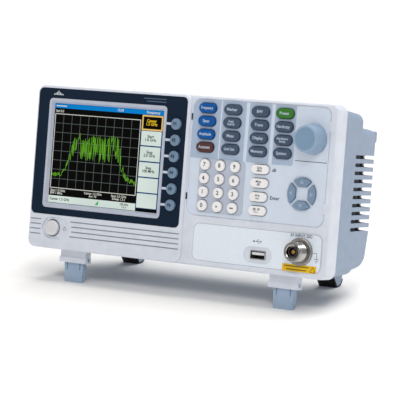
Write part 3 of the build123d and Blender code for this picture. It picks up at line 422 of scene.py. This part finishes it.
def rounded(x0, z0, x1, z1, radius, corners=(1, 1, 1, 1)):
    """Rectangle with round corners, from bottom left; a corner of 0 stays square."""
    loop = []
    turns = ((x0, z0, 1, 1, 180), (x1, z0, -1, 1, 270), (x1, z1, -1, -1, 0), (x0, z1, 1, -1, 90))
    for (x, z, across, up, start), is_round in zip(turns, corners):
        reach = radius if is_round else 0
        if reach:
            loop += arc(x + across * reach, z + up * reach, reach, start, start + 90, 8)
        else:
            loop.append((x, z))
    return loop


def disc(x, z, radius, steps=40):
    return arc(x, z, radius, 0, 360 * (steps - 1) / steps, steps - 1)


FLANGE = 0.7                    # a key's hidden flange is this much wider all round


def around_key(name, gap):
    """Outline of a key's visible top with fully round ends, gap wider all round."""
    low, high = span(name)
    reach = gap - FLANGE
    x0, x1, z0, z1 = low.x - reach, high.x + reach, low.z - reach, high.z + reach
    return rounded(x0, z0, x1, z1, (z1 - z0) / 2)


# ---- legends on the keys ----
white_ink = ink("legend_white", srgb(188, 200, 216))
dark_ink = ink("legend_dark", srgb(52, 60, 78))
blue_ink = ink("legend_blue", print_blue)
key_words = {
    "frequency": "Frequency", "span": "Span", "amplitude": "Amplitude", "autoset": "Autoset",
    "marker": "Marker", "peak_search": "Peak\nSearch", "measure": "Meas",
    "limit_line": "Limit Line", "bandwidth": "BW", "trace": "Trace", "display": "Display",
    "memory": "Memory", "preset": "Preset", "hardcopy": "Hardcopy",
    "hardware": "Hardware\nSetup", "system": "System",
}
key_units = {"ghz": "GHz\ndBm", "mhz": "MHz\ndB", "khz": "kHz\nms", "backspace": "BK SP\n<—"}
LEGEND = 0.05                   # thickness of the print on a key
LETTER = 0.54                   # width of a letter as a share of its height
WORD_REACH = 13.4               # widest word that fits on a function key
word_size, small_word_size, unit_size, soft_size, digit_size = 3.4, 2.6, 2.7, 3.6, 4.8


def legend(key, text, size, material, wide=1.0):
    face = span(key)[0].y
    lettering(f"legend_{key}", text, centre_of(key), face, size, material, key, LEGEND, wide=wide)


for word, text in key_words.items():
    long = max(len(line) for line in text.split("\n"))
    size = small_word_size if "\n" in text else word_size
    legend(f"key_{word}", text, size, white_ink, min(1.0, WORD_REACH / (long * size * LETTER)))
for unit, text in key_units.items():
    legend(f"key_{unit}", text, unit_size, dark_ink)

# each soft key gets a crown over its flat CAD top, just wide enough to cover it
crown_height = 0.9
crown_cover = 0.03
crown_skirt = 1.1               # how far back the crown's straight side reaches
crown_shoulder = 0.25
crown_steps = 9
crown_print = 0.3               # thick, so that it reaches down to the curved crown
for number in range(1, 7):
    key = f"key_f{number}"
    key_low, key_high = span(key)
    key_radius = (key_high.x - key_low.x) / 2 - FLANGE + crown_cover
    face = key_low.y
    back, shoulder = face + crown_skirt, face + crown_shoulder
    crown = [(back, 0), (back, key_radius), (shoulder, key_radius)]
    for step in range(1, crown_steps):
        turn = math.radians(90 * step / crown_steps)
        rise = (crown_height + crown_shoulder) * math.sin(turn)
        crown.append((shoulder - rise, key_radius * math.cos(turn)))
    top_face = face - crown_height
    crown.append((top_face, 0))
    spot = centre_of(key)
    lathe(f"crown_{key}", crown, spot, 48, finishes["soft_key"], key, creases=False)
    lettering(f"legend_{key}", f"F{number}", spot, top_face, soft_size, dark_ink, key, crown_print)
for digit in range(10):
    legend(f"key_{digit}", str(digit), digit_size, dark_ink)

dot = disc(*centre_of("key_point"), 0.75, 20)
printed("legend_key_point", [dot], span("key_point")[0].y, LEGEND, dark_ink, "key_point")
sign_x, sign_z = centre_of("key_sign")
minus = ((sign_x - 1.7, sign_z), (sign_x + 1.7, sign_z))
strokes("legend_key_sign", [minus], 0.9, span("key_sign")[0].y, LEGEND, dark_ink, "key_sign")

arrow_mark = ink("arrow_mark", srgb(176, 192, 212))
arrow_tips = [(1.6, 0.0), (-0.9, 1.75), (-0.9, -1.75)]
arrow_hole = [(0.8, 0.0), (-0.5, 0.95), (-0.5, -0.95)]
for name, turn in (("right", 0), ("up", 90), ("left", 180), ("down", 270)):
    key = f"key_arrow_{name}"
    x, z = centre_of(key)
    c, s = math.cos(math.radians(turn)), math.sin(math.radians(turn))
    loops = [
        [(x + a * c - b * s, z + a * s + b * c) for a, b in loop]
        for loop in (arrow_tips, arrow_hole)
    ]
    printed(f"mark_{key}", loops, span(key)[0].y, LEGEND, arrow_mark, key)

# ---- prints on the keypad panel, and painted shade round its keys ----
FILM = 0.05                     # thickness of a print
HOLE = 0.64                     # films stop this far from a key
GAP_SHADE = (0.62, 0.32)             # outer and inner gap of the dark line round a key, painted shade for the gap between key and panel
block_face = span("front_bezel")[0].y
rim = block_face + 2.0          # the right half's face is this far behind the display block's
panel_face = rim + 0.8
pad_face = panel_face - 0.4     # the number pad stands proud of the panel
panel_high = span("keypad_panel")[1].z
right_edge = span("front_bezel")[1].x
half_left = right_edge - 138.1  # where the right half of the front begins
band_top = panel_high - 0.6
band_ink = ink("band_print", srgb(168, 184, 206))
function_columns = [
    ("frequency", "span", "amplitude", "autoset"),
    ("marker", "peak_search", "measure", "limit_line"),
    ("bandwidth", "trace", "display", "memory"),
    ("preset", "hardcopy", "hardware", "system"),
]
band_left = (14.5, 10.6, 10.8, 9.7)     # how far each band reaches left of its keys' middle,
band_right = (12.3, 12.3, 10.2, 10.0)   # how far right of it,
band_drop = 4.6                         # and how far below its lowest key
band_corner = 2.0
for column, names in enumerate(function_columns):
    keys = [f"key_{name}" for name in names]
    x, low = centre_of(keys[0])[0], span(keys[-1])[0].z - band_drop
    x0, x1 = x - band_left[column], x + band_right[column]
    corners = (0, 1, 0, 0) if column == 3 else (0, 0, 0, 0)
    outline = rounded(x0, low, x1, band_top, band_corner, corners)
    loops = [outline] + [around_key(key, HOLE) for key in keys]
    printed(f"band_{column + 1}", loops, panel_face, FILM, band_ink)

pad_low_x, pad_high_x = span("key_1")[0].x - 1.0, span("key_3")[1].x + 3.8
pad_low_z, pad_high_z = span("key_0")[0].z - 0.7, span("key_9")[1].z - 0.1
pad_corner = 3.6
pad_ink = ink("pad_print", srgb(182, 190, 206))
digit_keys = [f"key_{name}" for name in (*range(10), "point", "sign")]
pad_outline = rounded(pad_low_x, pad_low_z, pad_high_x, pad_high_z, pad_corner)
pad_loops = [pad_outline] + [around_key(key, HOLE) for key in digit_keys]
printed("pad_film", pad_loops, pad_face, FILM, pad_ink)
# a dark line round each key paints the shade that falls in the gap between key and panel
gap_shade_ink = ink("key_gap_painted_shade", srgb(92, 102, 118))
panel_keys = [f"key_{name}" for name in (*key_units, *key_words)]
for keys, face in ((digit_keys, pad_face), (panel_keys, panel_face)):
    for key in keys:
        printed(f"gap_shade_{key}", [around_key(key, gap) for gap in GAP_SHADE], face, FILM, gap_shade_ink)
unit_text_x = span("key_ghz")[1].x + 1.6
unit_z, enter_z = centre_of("key_ghz")[1], centre_of("key_khz")[1]
lettering("print_unit", "dB", (unit_text_x, unit_z), panel_face, 3.6, blue_ink, align="LEFT")
lettering("print_enter", "Enter", (unit_text_x, enter_z), panel_face, 4.0, blue_ink, align="LEFT")
knob_x, knob_z = centre_of("tuning_knob")
rule_z = knob_z - 17.8
rule = ((knob_x - 15.6, rule_z), (right_edge - 8.4, rule_z))
strokes("print_rule", [rule], 0.5, panel_face, FILM, dark_ink)

# ---- prints on the display window ----
window_low, window_high = span("display_window")
window_face = window_low.y
frame_low, frame_high = span("lcd_module")
module_margin = 3.4             # the display module is this much wider all round than its frame
frame_right = frame_high.x - module_margin
frame_left = frame_low.x + module_margin
frame_top = frame_high.z - module_margin
lead_ink = ink("lead_print", srgb(196, 203, 219))
for number in range(1, 7):
    x, z = centre_of(f"key_f{number}")
    outline = rounded(frame_right + 0.1, z - 1.0, x - 4.9, z + 1.0, 0.4)
    printed(f"lead_{number}", [outline], window_face, FILM, lead_ink)
mark_ink = ink("window_mark", srgb(226, 232, 240))
mark_dim = ink("window_mark_dim", srgb(92, 112, 138))
mark_z = (frame_top + window_high.z) / 2 + 0.4
bar_heights = (1.0, 1.7, 2.6, 3.6, 2.3, 1.5, 0.9)
bar_pitch = 1.5
bars = []
for step, height in enumerate(bar_heights):
    x, foot = frame_left + 4.5 + step * bar_pitch, mark_z - 1.8
    bars.append(((x, foot), (x, foot + height)))
strokes("window_glyph", bars, 0.8, window_face, FILM, mark_ink)
window_rules = [
    ((frame_right - reach, z), (frame_right - 1.5, z))
    for reach, z in ((24.0, mark_z + 0.7), (21.0, mark_z - 1.6))
]
strokes("window_rules", window_rules, 0.55, window_face, FILM, mark_dim)

# ---- the lit display ----
screen_width, screen_height = 112.9, 84.7
screen_x, screen_z = centre_of("lcd_module")
glass = frame_low.y + 2.8       # the glass lies this far behind the frame's front
left, top = screen_x - screen_width / 2, screen_z + screen_height / 2
black = lit("display_black", srgb(4, 3, 3), 0.5, 0.4)
title_blue = lit("display_title", srgb(2, 136, 220))
cell_blue = lit("display_rules", srgb(10, 74, 128))
pale_green = lit("display_cell", srgb(228, 243, 236))
amber = lit("display_amber", srgb(250, 205, 110))
yellow = lit("display_yellow", srgb(255, 214, 40))
white_light = lit("display_white", srgb(226, 228, 218))
grid_grey = lit("display_grid", srgb(104, 116, 108), 0.7)
green_light = lit("display_trace", srgb(104, 176, 42), 0.85)
green_mark = lit("display_mark", srgb(30, 170, 90), 0.9)
text_grey = lit("display_text", srgb(20, 26, 28), 0.5)


def patch(u0, v0, u1, v1):
    """Square-cornered outline on the display, across and down from its top left corner."""
    return rounded(left + u0, top - v1, left + u1, top - v0, 0)


def cell(name, u0, v0, u1, v1, layer, material):
    """Filled rectangle on the display; higher layers lie on top."""
    printed(name, [patch(u0, v0, u1, v1)], glass, layer * FILM, material)


def words(name, text, u, v, size, layer, material, align="CENTER"):
    spot = (left + u, top - v)
    lettering(name, text, spot, glass, size, material, "case", layer * FILM, align)


cell("display_ground", 0, 0, screen_width, screen_height, 1, black)
cell("display_bar", 0.2, 0.2, 112.4, 4.0, 2, title_blue)
bar_z = top - 2.1
bar_mark = ((left + 1.5, bar_z), (left + 12.5, bar_z))
strokes("display_bar_mark", [bar_mark], 0.9, glass, 3 * FILM, white_light)
words("display_bar_time", "12:30", 68.5, 2.1, 2.9, 3, white_light)
words("display_bar_menu", "Frequency", 102.0, 2.1, 3.2, 3, white_light)

plot_left, plot_top, plot_right, plot_bottom = 1.2, 8.9, 89.7, 71.8
across, down = 10, 8
rules = []
for column in range(1, across):
    u = plot_left + (plot_right - plot_left) * column / across
    rules.append(((left + u, top - plot_top), (left + u, top - plot_bottom)))
for row in range(1, down):
    v = plot_top + (plot_bottom - plot_top) * row / down
    rules.append(((left + plot_left, top - v), (left + plot_right, top - v)))
strokes("display_grid", rules, 0.36, glass, 2 * FILM, grid_grey)
plot_edge = [
    patch(plot_left - over, plot_top - over, plot_right + over, plot_bottom + over)
    for over in (0.3, -0.3)
]
printed("display_plot_edge", plot_edge, glass, 3 * FILM, white_light)

# the measured band: a noise floor, two flanks, and a band of fast ripple between them
random.seed(730)
trace_stations = (
    # across, middle level below the top edge, half swing
    (1.2, 60.6, 1.9), (10.6, 60.2, 1.9), (15.5, 55.0, 2.4), (18.8, 46.5, 4.2),
    (22.5, 37.0, 8.0), (27.5, 32.5, 10.2), (33.0, 35.5, 11.5), (50.0, 36.5, 11.8),
    (60.0, 35.0, 11.0), (66.0, 32.0, 9.8), (70.0, 37.0, 9.5), (73.0, 46.0, 7.0),
    (77.0, 56.5, 3.2), (81.0, 60.0, 2.2), (89.6, 61.8, 2.0),
)
station_u, station_level, station_swing = zip(*trace_stations)
samples = 215
flip_chance = 0.55
least_swing = 0.15
points = []
swing = 1
for sample in range(samples):
    u = station_u[0] + (station_u[-1] - station_u[0]) * sample / (samples - 1)
    level = np.interp(u, station_u, station_level)
    reach = np.interp(u, station_u, station_swing)
    if random.random() < flip_chance:
        swing = -swing
    points.append((left + u, top - level + swing * reach * random.uniform(least_swing, 1.0)))
strokes("display_trace", list(zip(points, points[1:])), 0.3, glass, 4 * FILM, green_light)

cell_left, cell_right = 91.5, 112.2
cell_first, cell_pitch, cell_height = 4.6, 13.0, 11.9
cell_middle = (cell_left + cell_right) / 2 - 0.8
cell("display_cell_ground", cell_left - 0.4, 4.0, cell_right + 0.3, 82.0, 2, cell_blue)
soft_words = ("Center\n1.5 GHz", "Start\n1.0 GHz", "Stop\n2.0 GHz", "Step\n100 MHz", "", "")
for row, text in enumerate(soft_words):
    v = cell_first + row * cell_pitch
    if row == 0:
        low = v + cell_height
        cell("display_cell_1_edge", cell_left - 0.2, v - 0.2, cell_right, low + 0.6, 3, amber)
        cell("display_cell_1", cell_left + 1.1, v + 1.1, cell_right - 1.3, low - 0.7, 4, black)
    else:
        right = cell_right - 0.6
        cell(f"display_cell_{row + 1}", cell_left, v, right, v + cell_height, 4, pale_green)
    if text:
        tint = yellow if row == 0 else text_grey
        words(f"display_cell_{row + 1}_text", text, cell_middle, v + 5.9, 3.4, 5, tint)

cell("display_status", 0.1, 78.5, 90.6, 84.4, 2, pale_green)
words("display_status_text", "Center 1.5 GHz", 1.2, 81.3, 3.2, 3, text_grey, "LEFT")
words("display_status_note", "100 kHz\n1.2 s", 79.0, 81.4, 2.6, 3, text_grey)
flag = [(left + 49.2, top - 83.0), (left + 52.6, top - 83.0), (left + 52.6, top - 79.4)]
printed("display_status_flag", [flag], glass, 3 * FILM, green_mark)
words("display_reference", "Ref 0.0", 1.5, 6.6, 2.9, 2, white_light, "LEFT")
words("display_note_1", "Start 1.0 GHz\nBW 1 MHz", 1.5, 75.2, 2.8, 2, white_light, "LEFT")
words("display_note_2", "Center 1.5 GHz\nAvg 10", 46.2, 75.2, 2.8, 2, white_light)
words("display_note_3", "Stop 2.0 GHz\nSweep 1.2 s", 73.0, 75.2, 2.8, 2, white_light)

# ---- signal input connector: nut, threaded barrel, slotted sleeve, insulator and contact ----
port = centre_of("input_connector")
port_low, port_high = span("input_connector")
front = port_low.y
nut_front = front + 10.4
thread_radius, nut_radius, bore_radius = 7.94, 11.2, 5.4
thread_pitch, thread_depth = 1.058, 0.55
groove_start, groove_end = front + 1.3, nut_front - 0.9
run_out = 0.6                   # length over which the thread deepens at either end
knurl_teeth, knurl_depth = 60, 0.22
nickel = finishes["connector"]


def knurl(y, radius, angle):
    """Fine serration round the nut's rim; its narrower rings stay round."""
    if radius <= nut_radius - 0.3:
        return radius
    return radius - knurl_depth * (0.5 + 0.5 * math.cos(knurl_teeth * angle))


def screw_thread(y, radius, angle):
    """A helical groove between the barrel's front lip and the nut."""
    if not groove_start < y < groove_end or radius < thread_radius - 0.1:
        return radius
    phase = ((y - front) / thread_pitch + angle / (2 * math.pi)) % 1.0
    flank = min(1.0, 1.6 * (1 - abs(2 * phase - 1)))
    fade = min(1.0, (y - groove_start) / run_out, (groove_end - y) / run_out)
    return radius - thread_depth * fade * flank


dark_nickel = metal("nut_nickel", (0.36, 0.35, 0.33, 1.0), 0.32)
nut = [
    (panel_face + 0.3, 0), (panel_face + 0.3, nut_radius - 0.5), (panel_face, nut_radius),
    (nut_front + 0.5, nut_radius), (nut_front, nut_radius - 0.6), (nut_front, 8.6),
    (nut_front + 0.4, 8.2), (nut_front + 0.4, 0),
]
lathe("connector_nut", nut, port, 240, dark_nickel, "case", knurl)

rows = 110                      # rings along the thread, so that its helix can be drawn
thread_back, thread_front = nut_front + 0.8, front + 0.7
barrel = [
    (port_high.y, 0), (port_high.y, 7.6), (nut_front + 1.0, 7.6), (nut_front + 0.9, thread_radius),
]
for row in range(rows + 1):
    barrel.append((thread_back - (thread_back - thread_front) * row / rows, thread_radius))
barrel += [
    (front + 0.3, thread_radius - 0.15), (front, thread_radius - 0.6), (front, bore_radius + 0.5),
    (front + 0.4, bore_radius), (front + 5.0, bore_radius), (front + 5.0, 0),
]
connector = lathe("connector_barrel", barrel, port, 96, nickel, "case", screw_thread)
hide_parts("input_connector")


def sleeve_slots(y, radius, angle):
    """Four slots that let the sleeve spring."""
    in_slot = abs((angle / (2 * math.pi) * 4) % 1.0 - 0.5) < 0.035
    return radius - 0.35 if in_slot and y < front + 3.9 and radius > 4.0 else radius


# the sleeve's nickel is darkened near to black, painting the shade deep inside the connector's bore
sleeve_shade_dark = metal("sleeve_nickel_painted_shade", (0.12, 0.115, 0.11, 1.0), 0.35)
sleeve = [
    (front + 5.0, 0), (front + 5.0, 4.3), (front + 1.5, 4.3), (front + 1.3, 4.1),
    (front + 1.3, 3.65), (front + 1.6, 3.5), (front + 4.6, 3.5), (front + 4.6, 0),
]
lathe("connector_sleeve", sleeve, port, 96, sleeve_shade_dark, "case", sleeve_slots)

insulator = plastic("insulator_plastic", srgb(58, 52, 44), 0.45, 0.3, 0.01)
plug = [
    (front + 4.8, 0), (front + 4.8, 3.4), (front + 4.3, 3.4), (front + 4.1, 3.1), (front + 4.1, 0),
]
lathe("connector_insulator", plug, port, 64, insulator, "case")

gold = metal("contact_gold", (0.86, 0.60, 0.24, 1.0), 0.2, 0.15, 0.004, 0.08)
contact = [
    (front + 4.5, 0), (front + 4.5, 1.55), (front + 1.9, 1.55), (front + 1.6, 1.3),
    (front + 1.6, 0.9), (front + 1.8, 0.8), (front + 3.6, 0.8), (front + 3.8, 0),
]
lathe("connector_contact", contact, port, 48, gold, "case")

# ---- film, a painted shade line round it, and prints of the input panel ----
port_x, port_z = port
usb_front = span("usb_port")[0].y
usb_x, usb_z = centre_of("usb_port")[0], port_z - 6.4
film_edge = 0.3                 # width of the darker line round the film, painted shade along the recess's edge
film_corner = 5.2
film_left, film_right = half_left + 10.0, port_x + 19.0 - film_edge
film_low, film_high = port_z - 16.1 + film_edge, port_z + 14.5 - film_edge
film_blue = ink("input_film_print", srgb(226, 234, 244))
# the darker ring round the film paints the shade at the edge of the recess
film_shade_ink = ink("film_edge_painted_shade", srgb(142, 154, 172))
film = rounded(film_left, film_low, film_right, film_high, film_corner)
film_rim = rounded(
    film_left - film_edge, film_low - film_edge, film_right + film_edge, film_high + film_edge,
    film_corner + film_edge,
)
nut_hole = disc(port_x, port_z, nut_radius + 0.2, 60)
usb_hole = rounded(usb_x - 13.45, usb_z - 6.7, usb_x + 13.45, usb_z + 6.7, 6.7)
printed("input_film", [film, nut_hole, usb_hole], panel_face, FILM / 2, film_blue)
printed("input_film_edge_shade", [film_rim, film], panel_face, FILM / 2, film_shade_ink)

input_text, input_spot = "RF INPUT 50\u03a9", (port_x - 0.2, port_z + 12.6)
lettering("print_input", input_text, input_spot, panel_face, 3.1, blue_ink, wide=1.05)
earth_x = port_x + 15.0
earth = [
    ((port_x + nut_radius + 0.3, port_z), (earth_x, port_z)),
    ((earth_x, port_z + 0.2), (earth_x, port_z - 4.6)),
]
for reach, drop in ((2.3, 4.6), (1.5, 6.0), (0.7, 7.3)):
    earth.append(((earth_x - reach, port_z - drop), (earth_x + reach, port_z - drop)))
strokes("print_earth", earth, 0.4, panel_face, FILM, blue_ink)

label_thick = 0.12
label_face = panel_face - label_thick
label_left, label_right = port_x - 15.9, port_x + 15.6
label_low, label_high = port_z - 16.1, port_z - 10.3
label_yellow = ink("label_yellow", srgb(232, 190, 24), 0.4)
label_ink = ink("label_ink", srgb(104, 78, 24))
plate = rounded(label_left, label_low, label_right, label_high, 0.8)
printed("label_plate", [plate], panel_face, label_thick, label_yellow)
label_lines = [
    ((label_left + start, label_high - drop), (label_left + end, label_high - drop))
    for start, end, drop in ((1.8, 24.4, 1.6), (4.0, 22.2, 4.2))
]
strokes("label_lines", label_lines, 0.75, label_face, FILM, label_ink)
sign_top = (label_right - 3.2, label_high - 0.8)
sign_left, sign_right = (label_right - 5.7, label_low + 0.7), (label_right - 0.7, label_low + 0.7)
triangle = [(sign_top, sign_left), (sign_left, sign_right), (sign_right, sign_top)]
strokes("label_triangle", triangle, 0.45, label_face, FILM, label_ink)

icon_x, icon_z = usb_x - 1.3, usb_z + 10.9
icon = (
    # both ends of each stroke, across and up from the icon's middle
    ((-3.0, 0.0), (3.2, 0.0)), ((-1.0, 0.0), (0.4, 1.3)), ((0.4, 1.3), (1.8, 1.3)),
    ((-0.2, 0.0), (1.2, -1.3)), ((1.2, -1.3), (2.4, -1.3)),
)
icon_lines = [[(icon_x + x, icon_z + z) for x, z in line] for line in icon]
icon_dot = disc(icon_x - 3.2, icon_z, 0.75, 20)
icon_tip = [(icon_x + 3.0, icon_z - 0.8), (icon_x + 4.4, icon_z), (icon_x + 3.0, icon_z + 0.8)]
strokes("print_port", icon_lines, 0.36, panel_face, FILM, blue_ink)
printed("print_port_dot", [icon_dot], panel_face, FILM, blue_ink)
printed("print_port_tip", [icon_tip], panel_face, FILM, blue_ink)

# ---- inside of the square port: tongue, contacts and back wall ----
tongue = plastic("port_tongue_plastic", srgb(222, 226, 232), 0.35, 0.3, 0.008)
tongue_front, tongue_length = usb_front + 0.9, 8.0
tongue_shape = rounded(usb_x - 5.7, usb_z + 0.1, usb_x + 5.7, usb_z + 2.1, 0.3)
printed("port_tongue", [tongue_shape], tongue_front + tongue_length, tongue_length, tongue)
contact_pitch, contact_length = 2.333, 6.6
for number in range(4):
    x = usb_x - 3.5 + number * contact_pitch
    strip = rounded(x - 0.55, usb_z - 0.15, x + 0.55, usb_z + 0.15, 0)
    printed(f"port_contact_{number + 1}", [strip], tongue_front + 7.0, contact_length, gold)
port_dark = plastic("port_inside_plastic", srgb(30, 32, 36), 0.5, 0.4, 0.01)
back_wall = rounded(usb_x - 6.55, usb_z - 2.95, usb_x + 6.55, usb_z + 2.95, 0.2)
printed("port_inside", [back_wall], usb_front + 9.5, 1.0, port_dark)

# ---- dark floors of the release slots, painted shade inside them ----
case_top = span("front_bezel")[1].z
# the floors' dark colour paints the shade inside the slots
slot_shade_dark = plastic("slot_painted_shade", srgb(30, 34, 42), 0.5, 0.4, 0.01)
slot_half_width, slot_half_height = 0.55, 2.7
for name, drop in (("release_upper", 17.5), ("release_lower", 82.5)):
    z = case_top - drop
    outline = rounded(
        half_left - slot_half_width, z - slot_half_height,
        half_left + slot_half_width, z + slot_half_height, 0.1,
    )
    printed(name, [outline], rim + 0.9, 0.4, slot_shade_dark)

# ---- painted shade round the power button and in the grooves beside it, and the power sign ----
power_x, power_z = centre_of("power_button")
well_floor = block_face + 1.1
# a dark ring on the well floor paints the shade in the gap round the button
power_gap_shade = [disc(power_x, power_z, radius, 60) for radius in (7.5, 6.82)]
printed("gap_shade_power", power_gap_shade, well_floor, FILM, gap_shade_ink)
# darker strips on the groove floors paint the shade inside the grooves
groove_shade_ink = ink("groove_painted_shade", srgb(150, 156, 170))
groove_top, groove_pitch = 6.5, 4.17
left_edge = -right_edge
for row, inset in enumerate((1.2, 2.8, 2.8, 1.2)):
    z = power_z + groove_top - groove_pitch * row
    left_groove = ("left", left_edge + 2.1, left_edge + 13.0)
    right_groove = ("right", left_edge + 43.1 + inset, 7.1)
    for side, x0, x1 in (left_groove, right_groove):
        groove_shade = rounded(x0, z - 0.4, x1, z + 0.4, 0.35)
        printed(f"groove_{side}_{row + 1}", [groove_shade], block_face + 0.7, FILM, groove_shade_ink)
power_mark_x = power_x + 12.4
ring = arc(power_mark_x, power_z, 1.5, 125, 415, 20)
power_bar = ((power_mark_x, power_z + 0.2), (power_mark_x, power_z + 2.1))
strokes("print_power", [*zip(ring, ring[1:]), power_bar], 0.35, well_floor, FILM, blue_ink)

# ---- knob: a shallow dished cap, and a thin pale ring round it, a painted highlight on the rim of its face ----
knob_front = span("tuning_knob")[0].y
cap_blue = smooth_plastic("knob_cap_plastic", srgb(122, 150, 175), 0.42, 0.04)
# the pale ring's colour paints the highlight along the rim of the knob's face
rim_highlight_blue = smooth_plastic("knob_rim_painted_highlight", srgb(176, 192, 210), 0.3, 0.03, 0.5)
# distance behind the knob's face, and radius
cap = [(0.25, 0), (0.25, 9.2), (-0.02, 9.35), (-0.12, 9.2), (-0.12, 8.6), (-0.06, 6.0), (-0.04, 0)]
cap_rim = [(0.3, 9.3), (-0.02, 9.35), (-0.02, 9.7), (0.3, 9.75), (0.3, 9.3)]
for name, shape, material in (("knob_cap", cap, cap_blue), ("knob_rim", cap_rim, rim_highlight_blue)):
    profile = [(knob_front + depth, radius) for depth, radius in shape]
    lathe(name, profile, (knob_x, knob_z), 96, material, "tuning_knob")

# ---- floor ----
floor_mesh = bpy.data.meshes.new("floor")
floor_reach = 6.0
floor_corners = [
    (x * floor_reach, y * floor_reach, cad_low.z) for x, y in ((-1, -1), (1, -1), (1, 1), (-1, 1))
]
floor_mesh.from_pydata(floor_corners, [], [(0, 1, 2, 3)])
floor = bpy.data.objects.new("floor", floor_mesh)
scene.collection.objects.link(floor)
floor_paper = Graph("floor_paper")
cloud_size = 60.0
clouds = floor_paper.noise(cloud_size, 3.0)
paper_tint = floor_paper.mix(clouds, srgb(250, 248, 245), srgb(253, 251, 248))
floor_paper.join(paper_tint, floor_paper.shader, "Base Color")
floor_paper.shader.inputs["Roughness"].default_value = 0.9
floor_paper.shader.inputs["Specular IOR Level"].default_value = 0.1
floor_mesh.materials.append(floor_paper.material)

# ---- light ----
world = bpy.data.worlds.new("studio")
world.use_nodes = True
background = world.node_tree.nodes["Background"]
background.inputs["Color"].default_value = (1.0, 1.0, 1.0, 1.0)
background.inputs["Strength"].default_value = 0.385
scene.world = world
scene.view_settings.view_transform = "Standard"

middle = (cad_low + cad_high) / 2


def softbox(name, spot, size, power):
    """Square area light aimed at the middle of the object."""
    data = bpy.data.lights.new(name, "AREA")
    data.shape = "SQUARE"
    data.size = size
    data.energy = power
    light = bpy.data.objects.new(name, data)
    light.location = spot
    light.rotation_euler = (middle - Vector(spot)).to_track_quat("-Z", "Y").to_euler()
    scene.collection.objects.link(light)


softbox("key_light", (0.8, -1.0, 1.3), 0.5, 7.5)
softbox("fill_light", (-1.2, -1.2, 0.9), 1.0, 2.0)

# a wide overhead light keeps the floor white and drops the shadow under the front edge
overhead = bpy.data.lights.new("overhead_light", "SUN")
overhead.energy = 2.4
overhead.angle = math.radians(60)
overhead_light = bpy.data.objects.new("overhead_light", overhead)
overhead_light.rotation_euler = Vector((0.15, 0.35, 1.0)).to_track_quat("Z", "Y").to_euler()
scene.collection.objects.link(overhead_light)

# ---- camera: looks at the front from the right and a little above, tipped two degrees ----
azimuth, elevation, roll = (math.radians(angle) for angle in (33.969, 11.669, -2.071))
distance = 1.804
target = Vector((0.02397, -0.04090, 0.08107))
flat = math.cos(elevation)
towards = Vector((math.sin(azimuth) * flat, -math.cos(azimuth) * flat, math.sin(elevation)))
camera_data = bpy.data.cameras.new("camera")
camera_data.sensor_width = 36.0
camera_data.lens = 199.24
camera = bpy.data.objects.new("camera", camera_data)
scene.collection.objects.link(camera)
facing = (-towards).to_track_quat("-Z", "Y").to_matrix() @ Matrix.Rotation(roll, 3, "Z")
camera.matrix_world = Matrix.Translation(target + towards * distance) @ facing.to_4x4()
scene.camera = camera
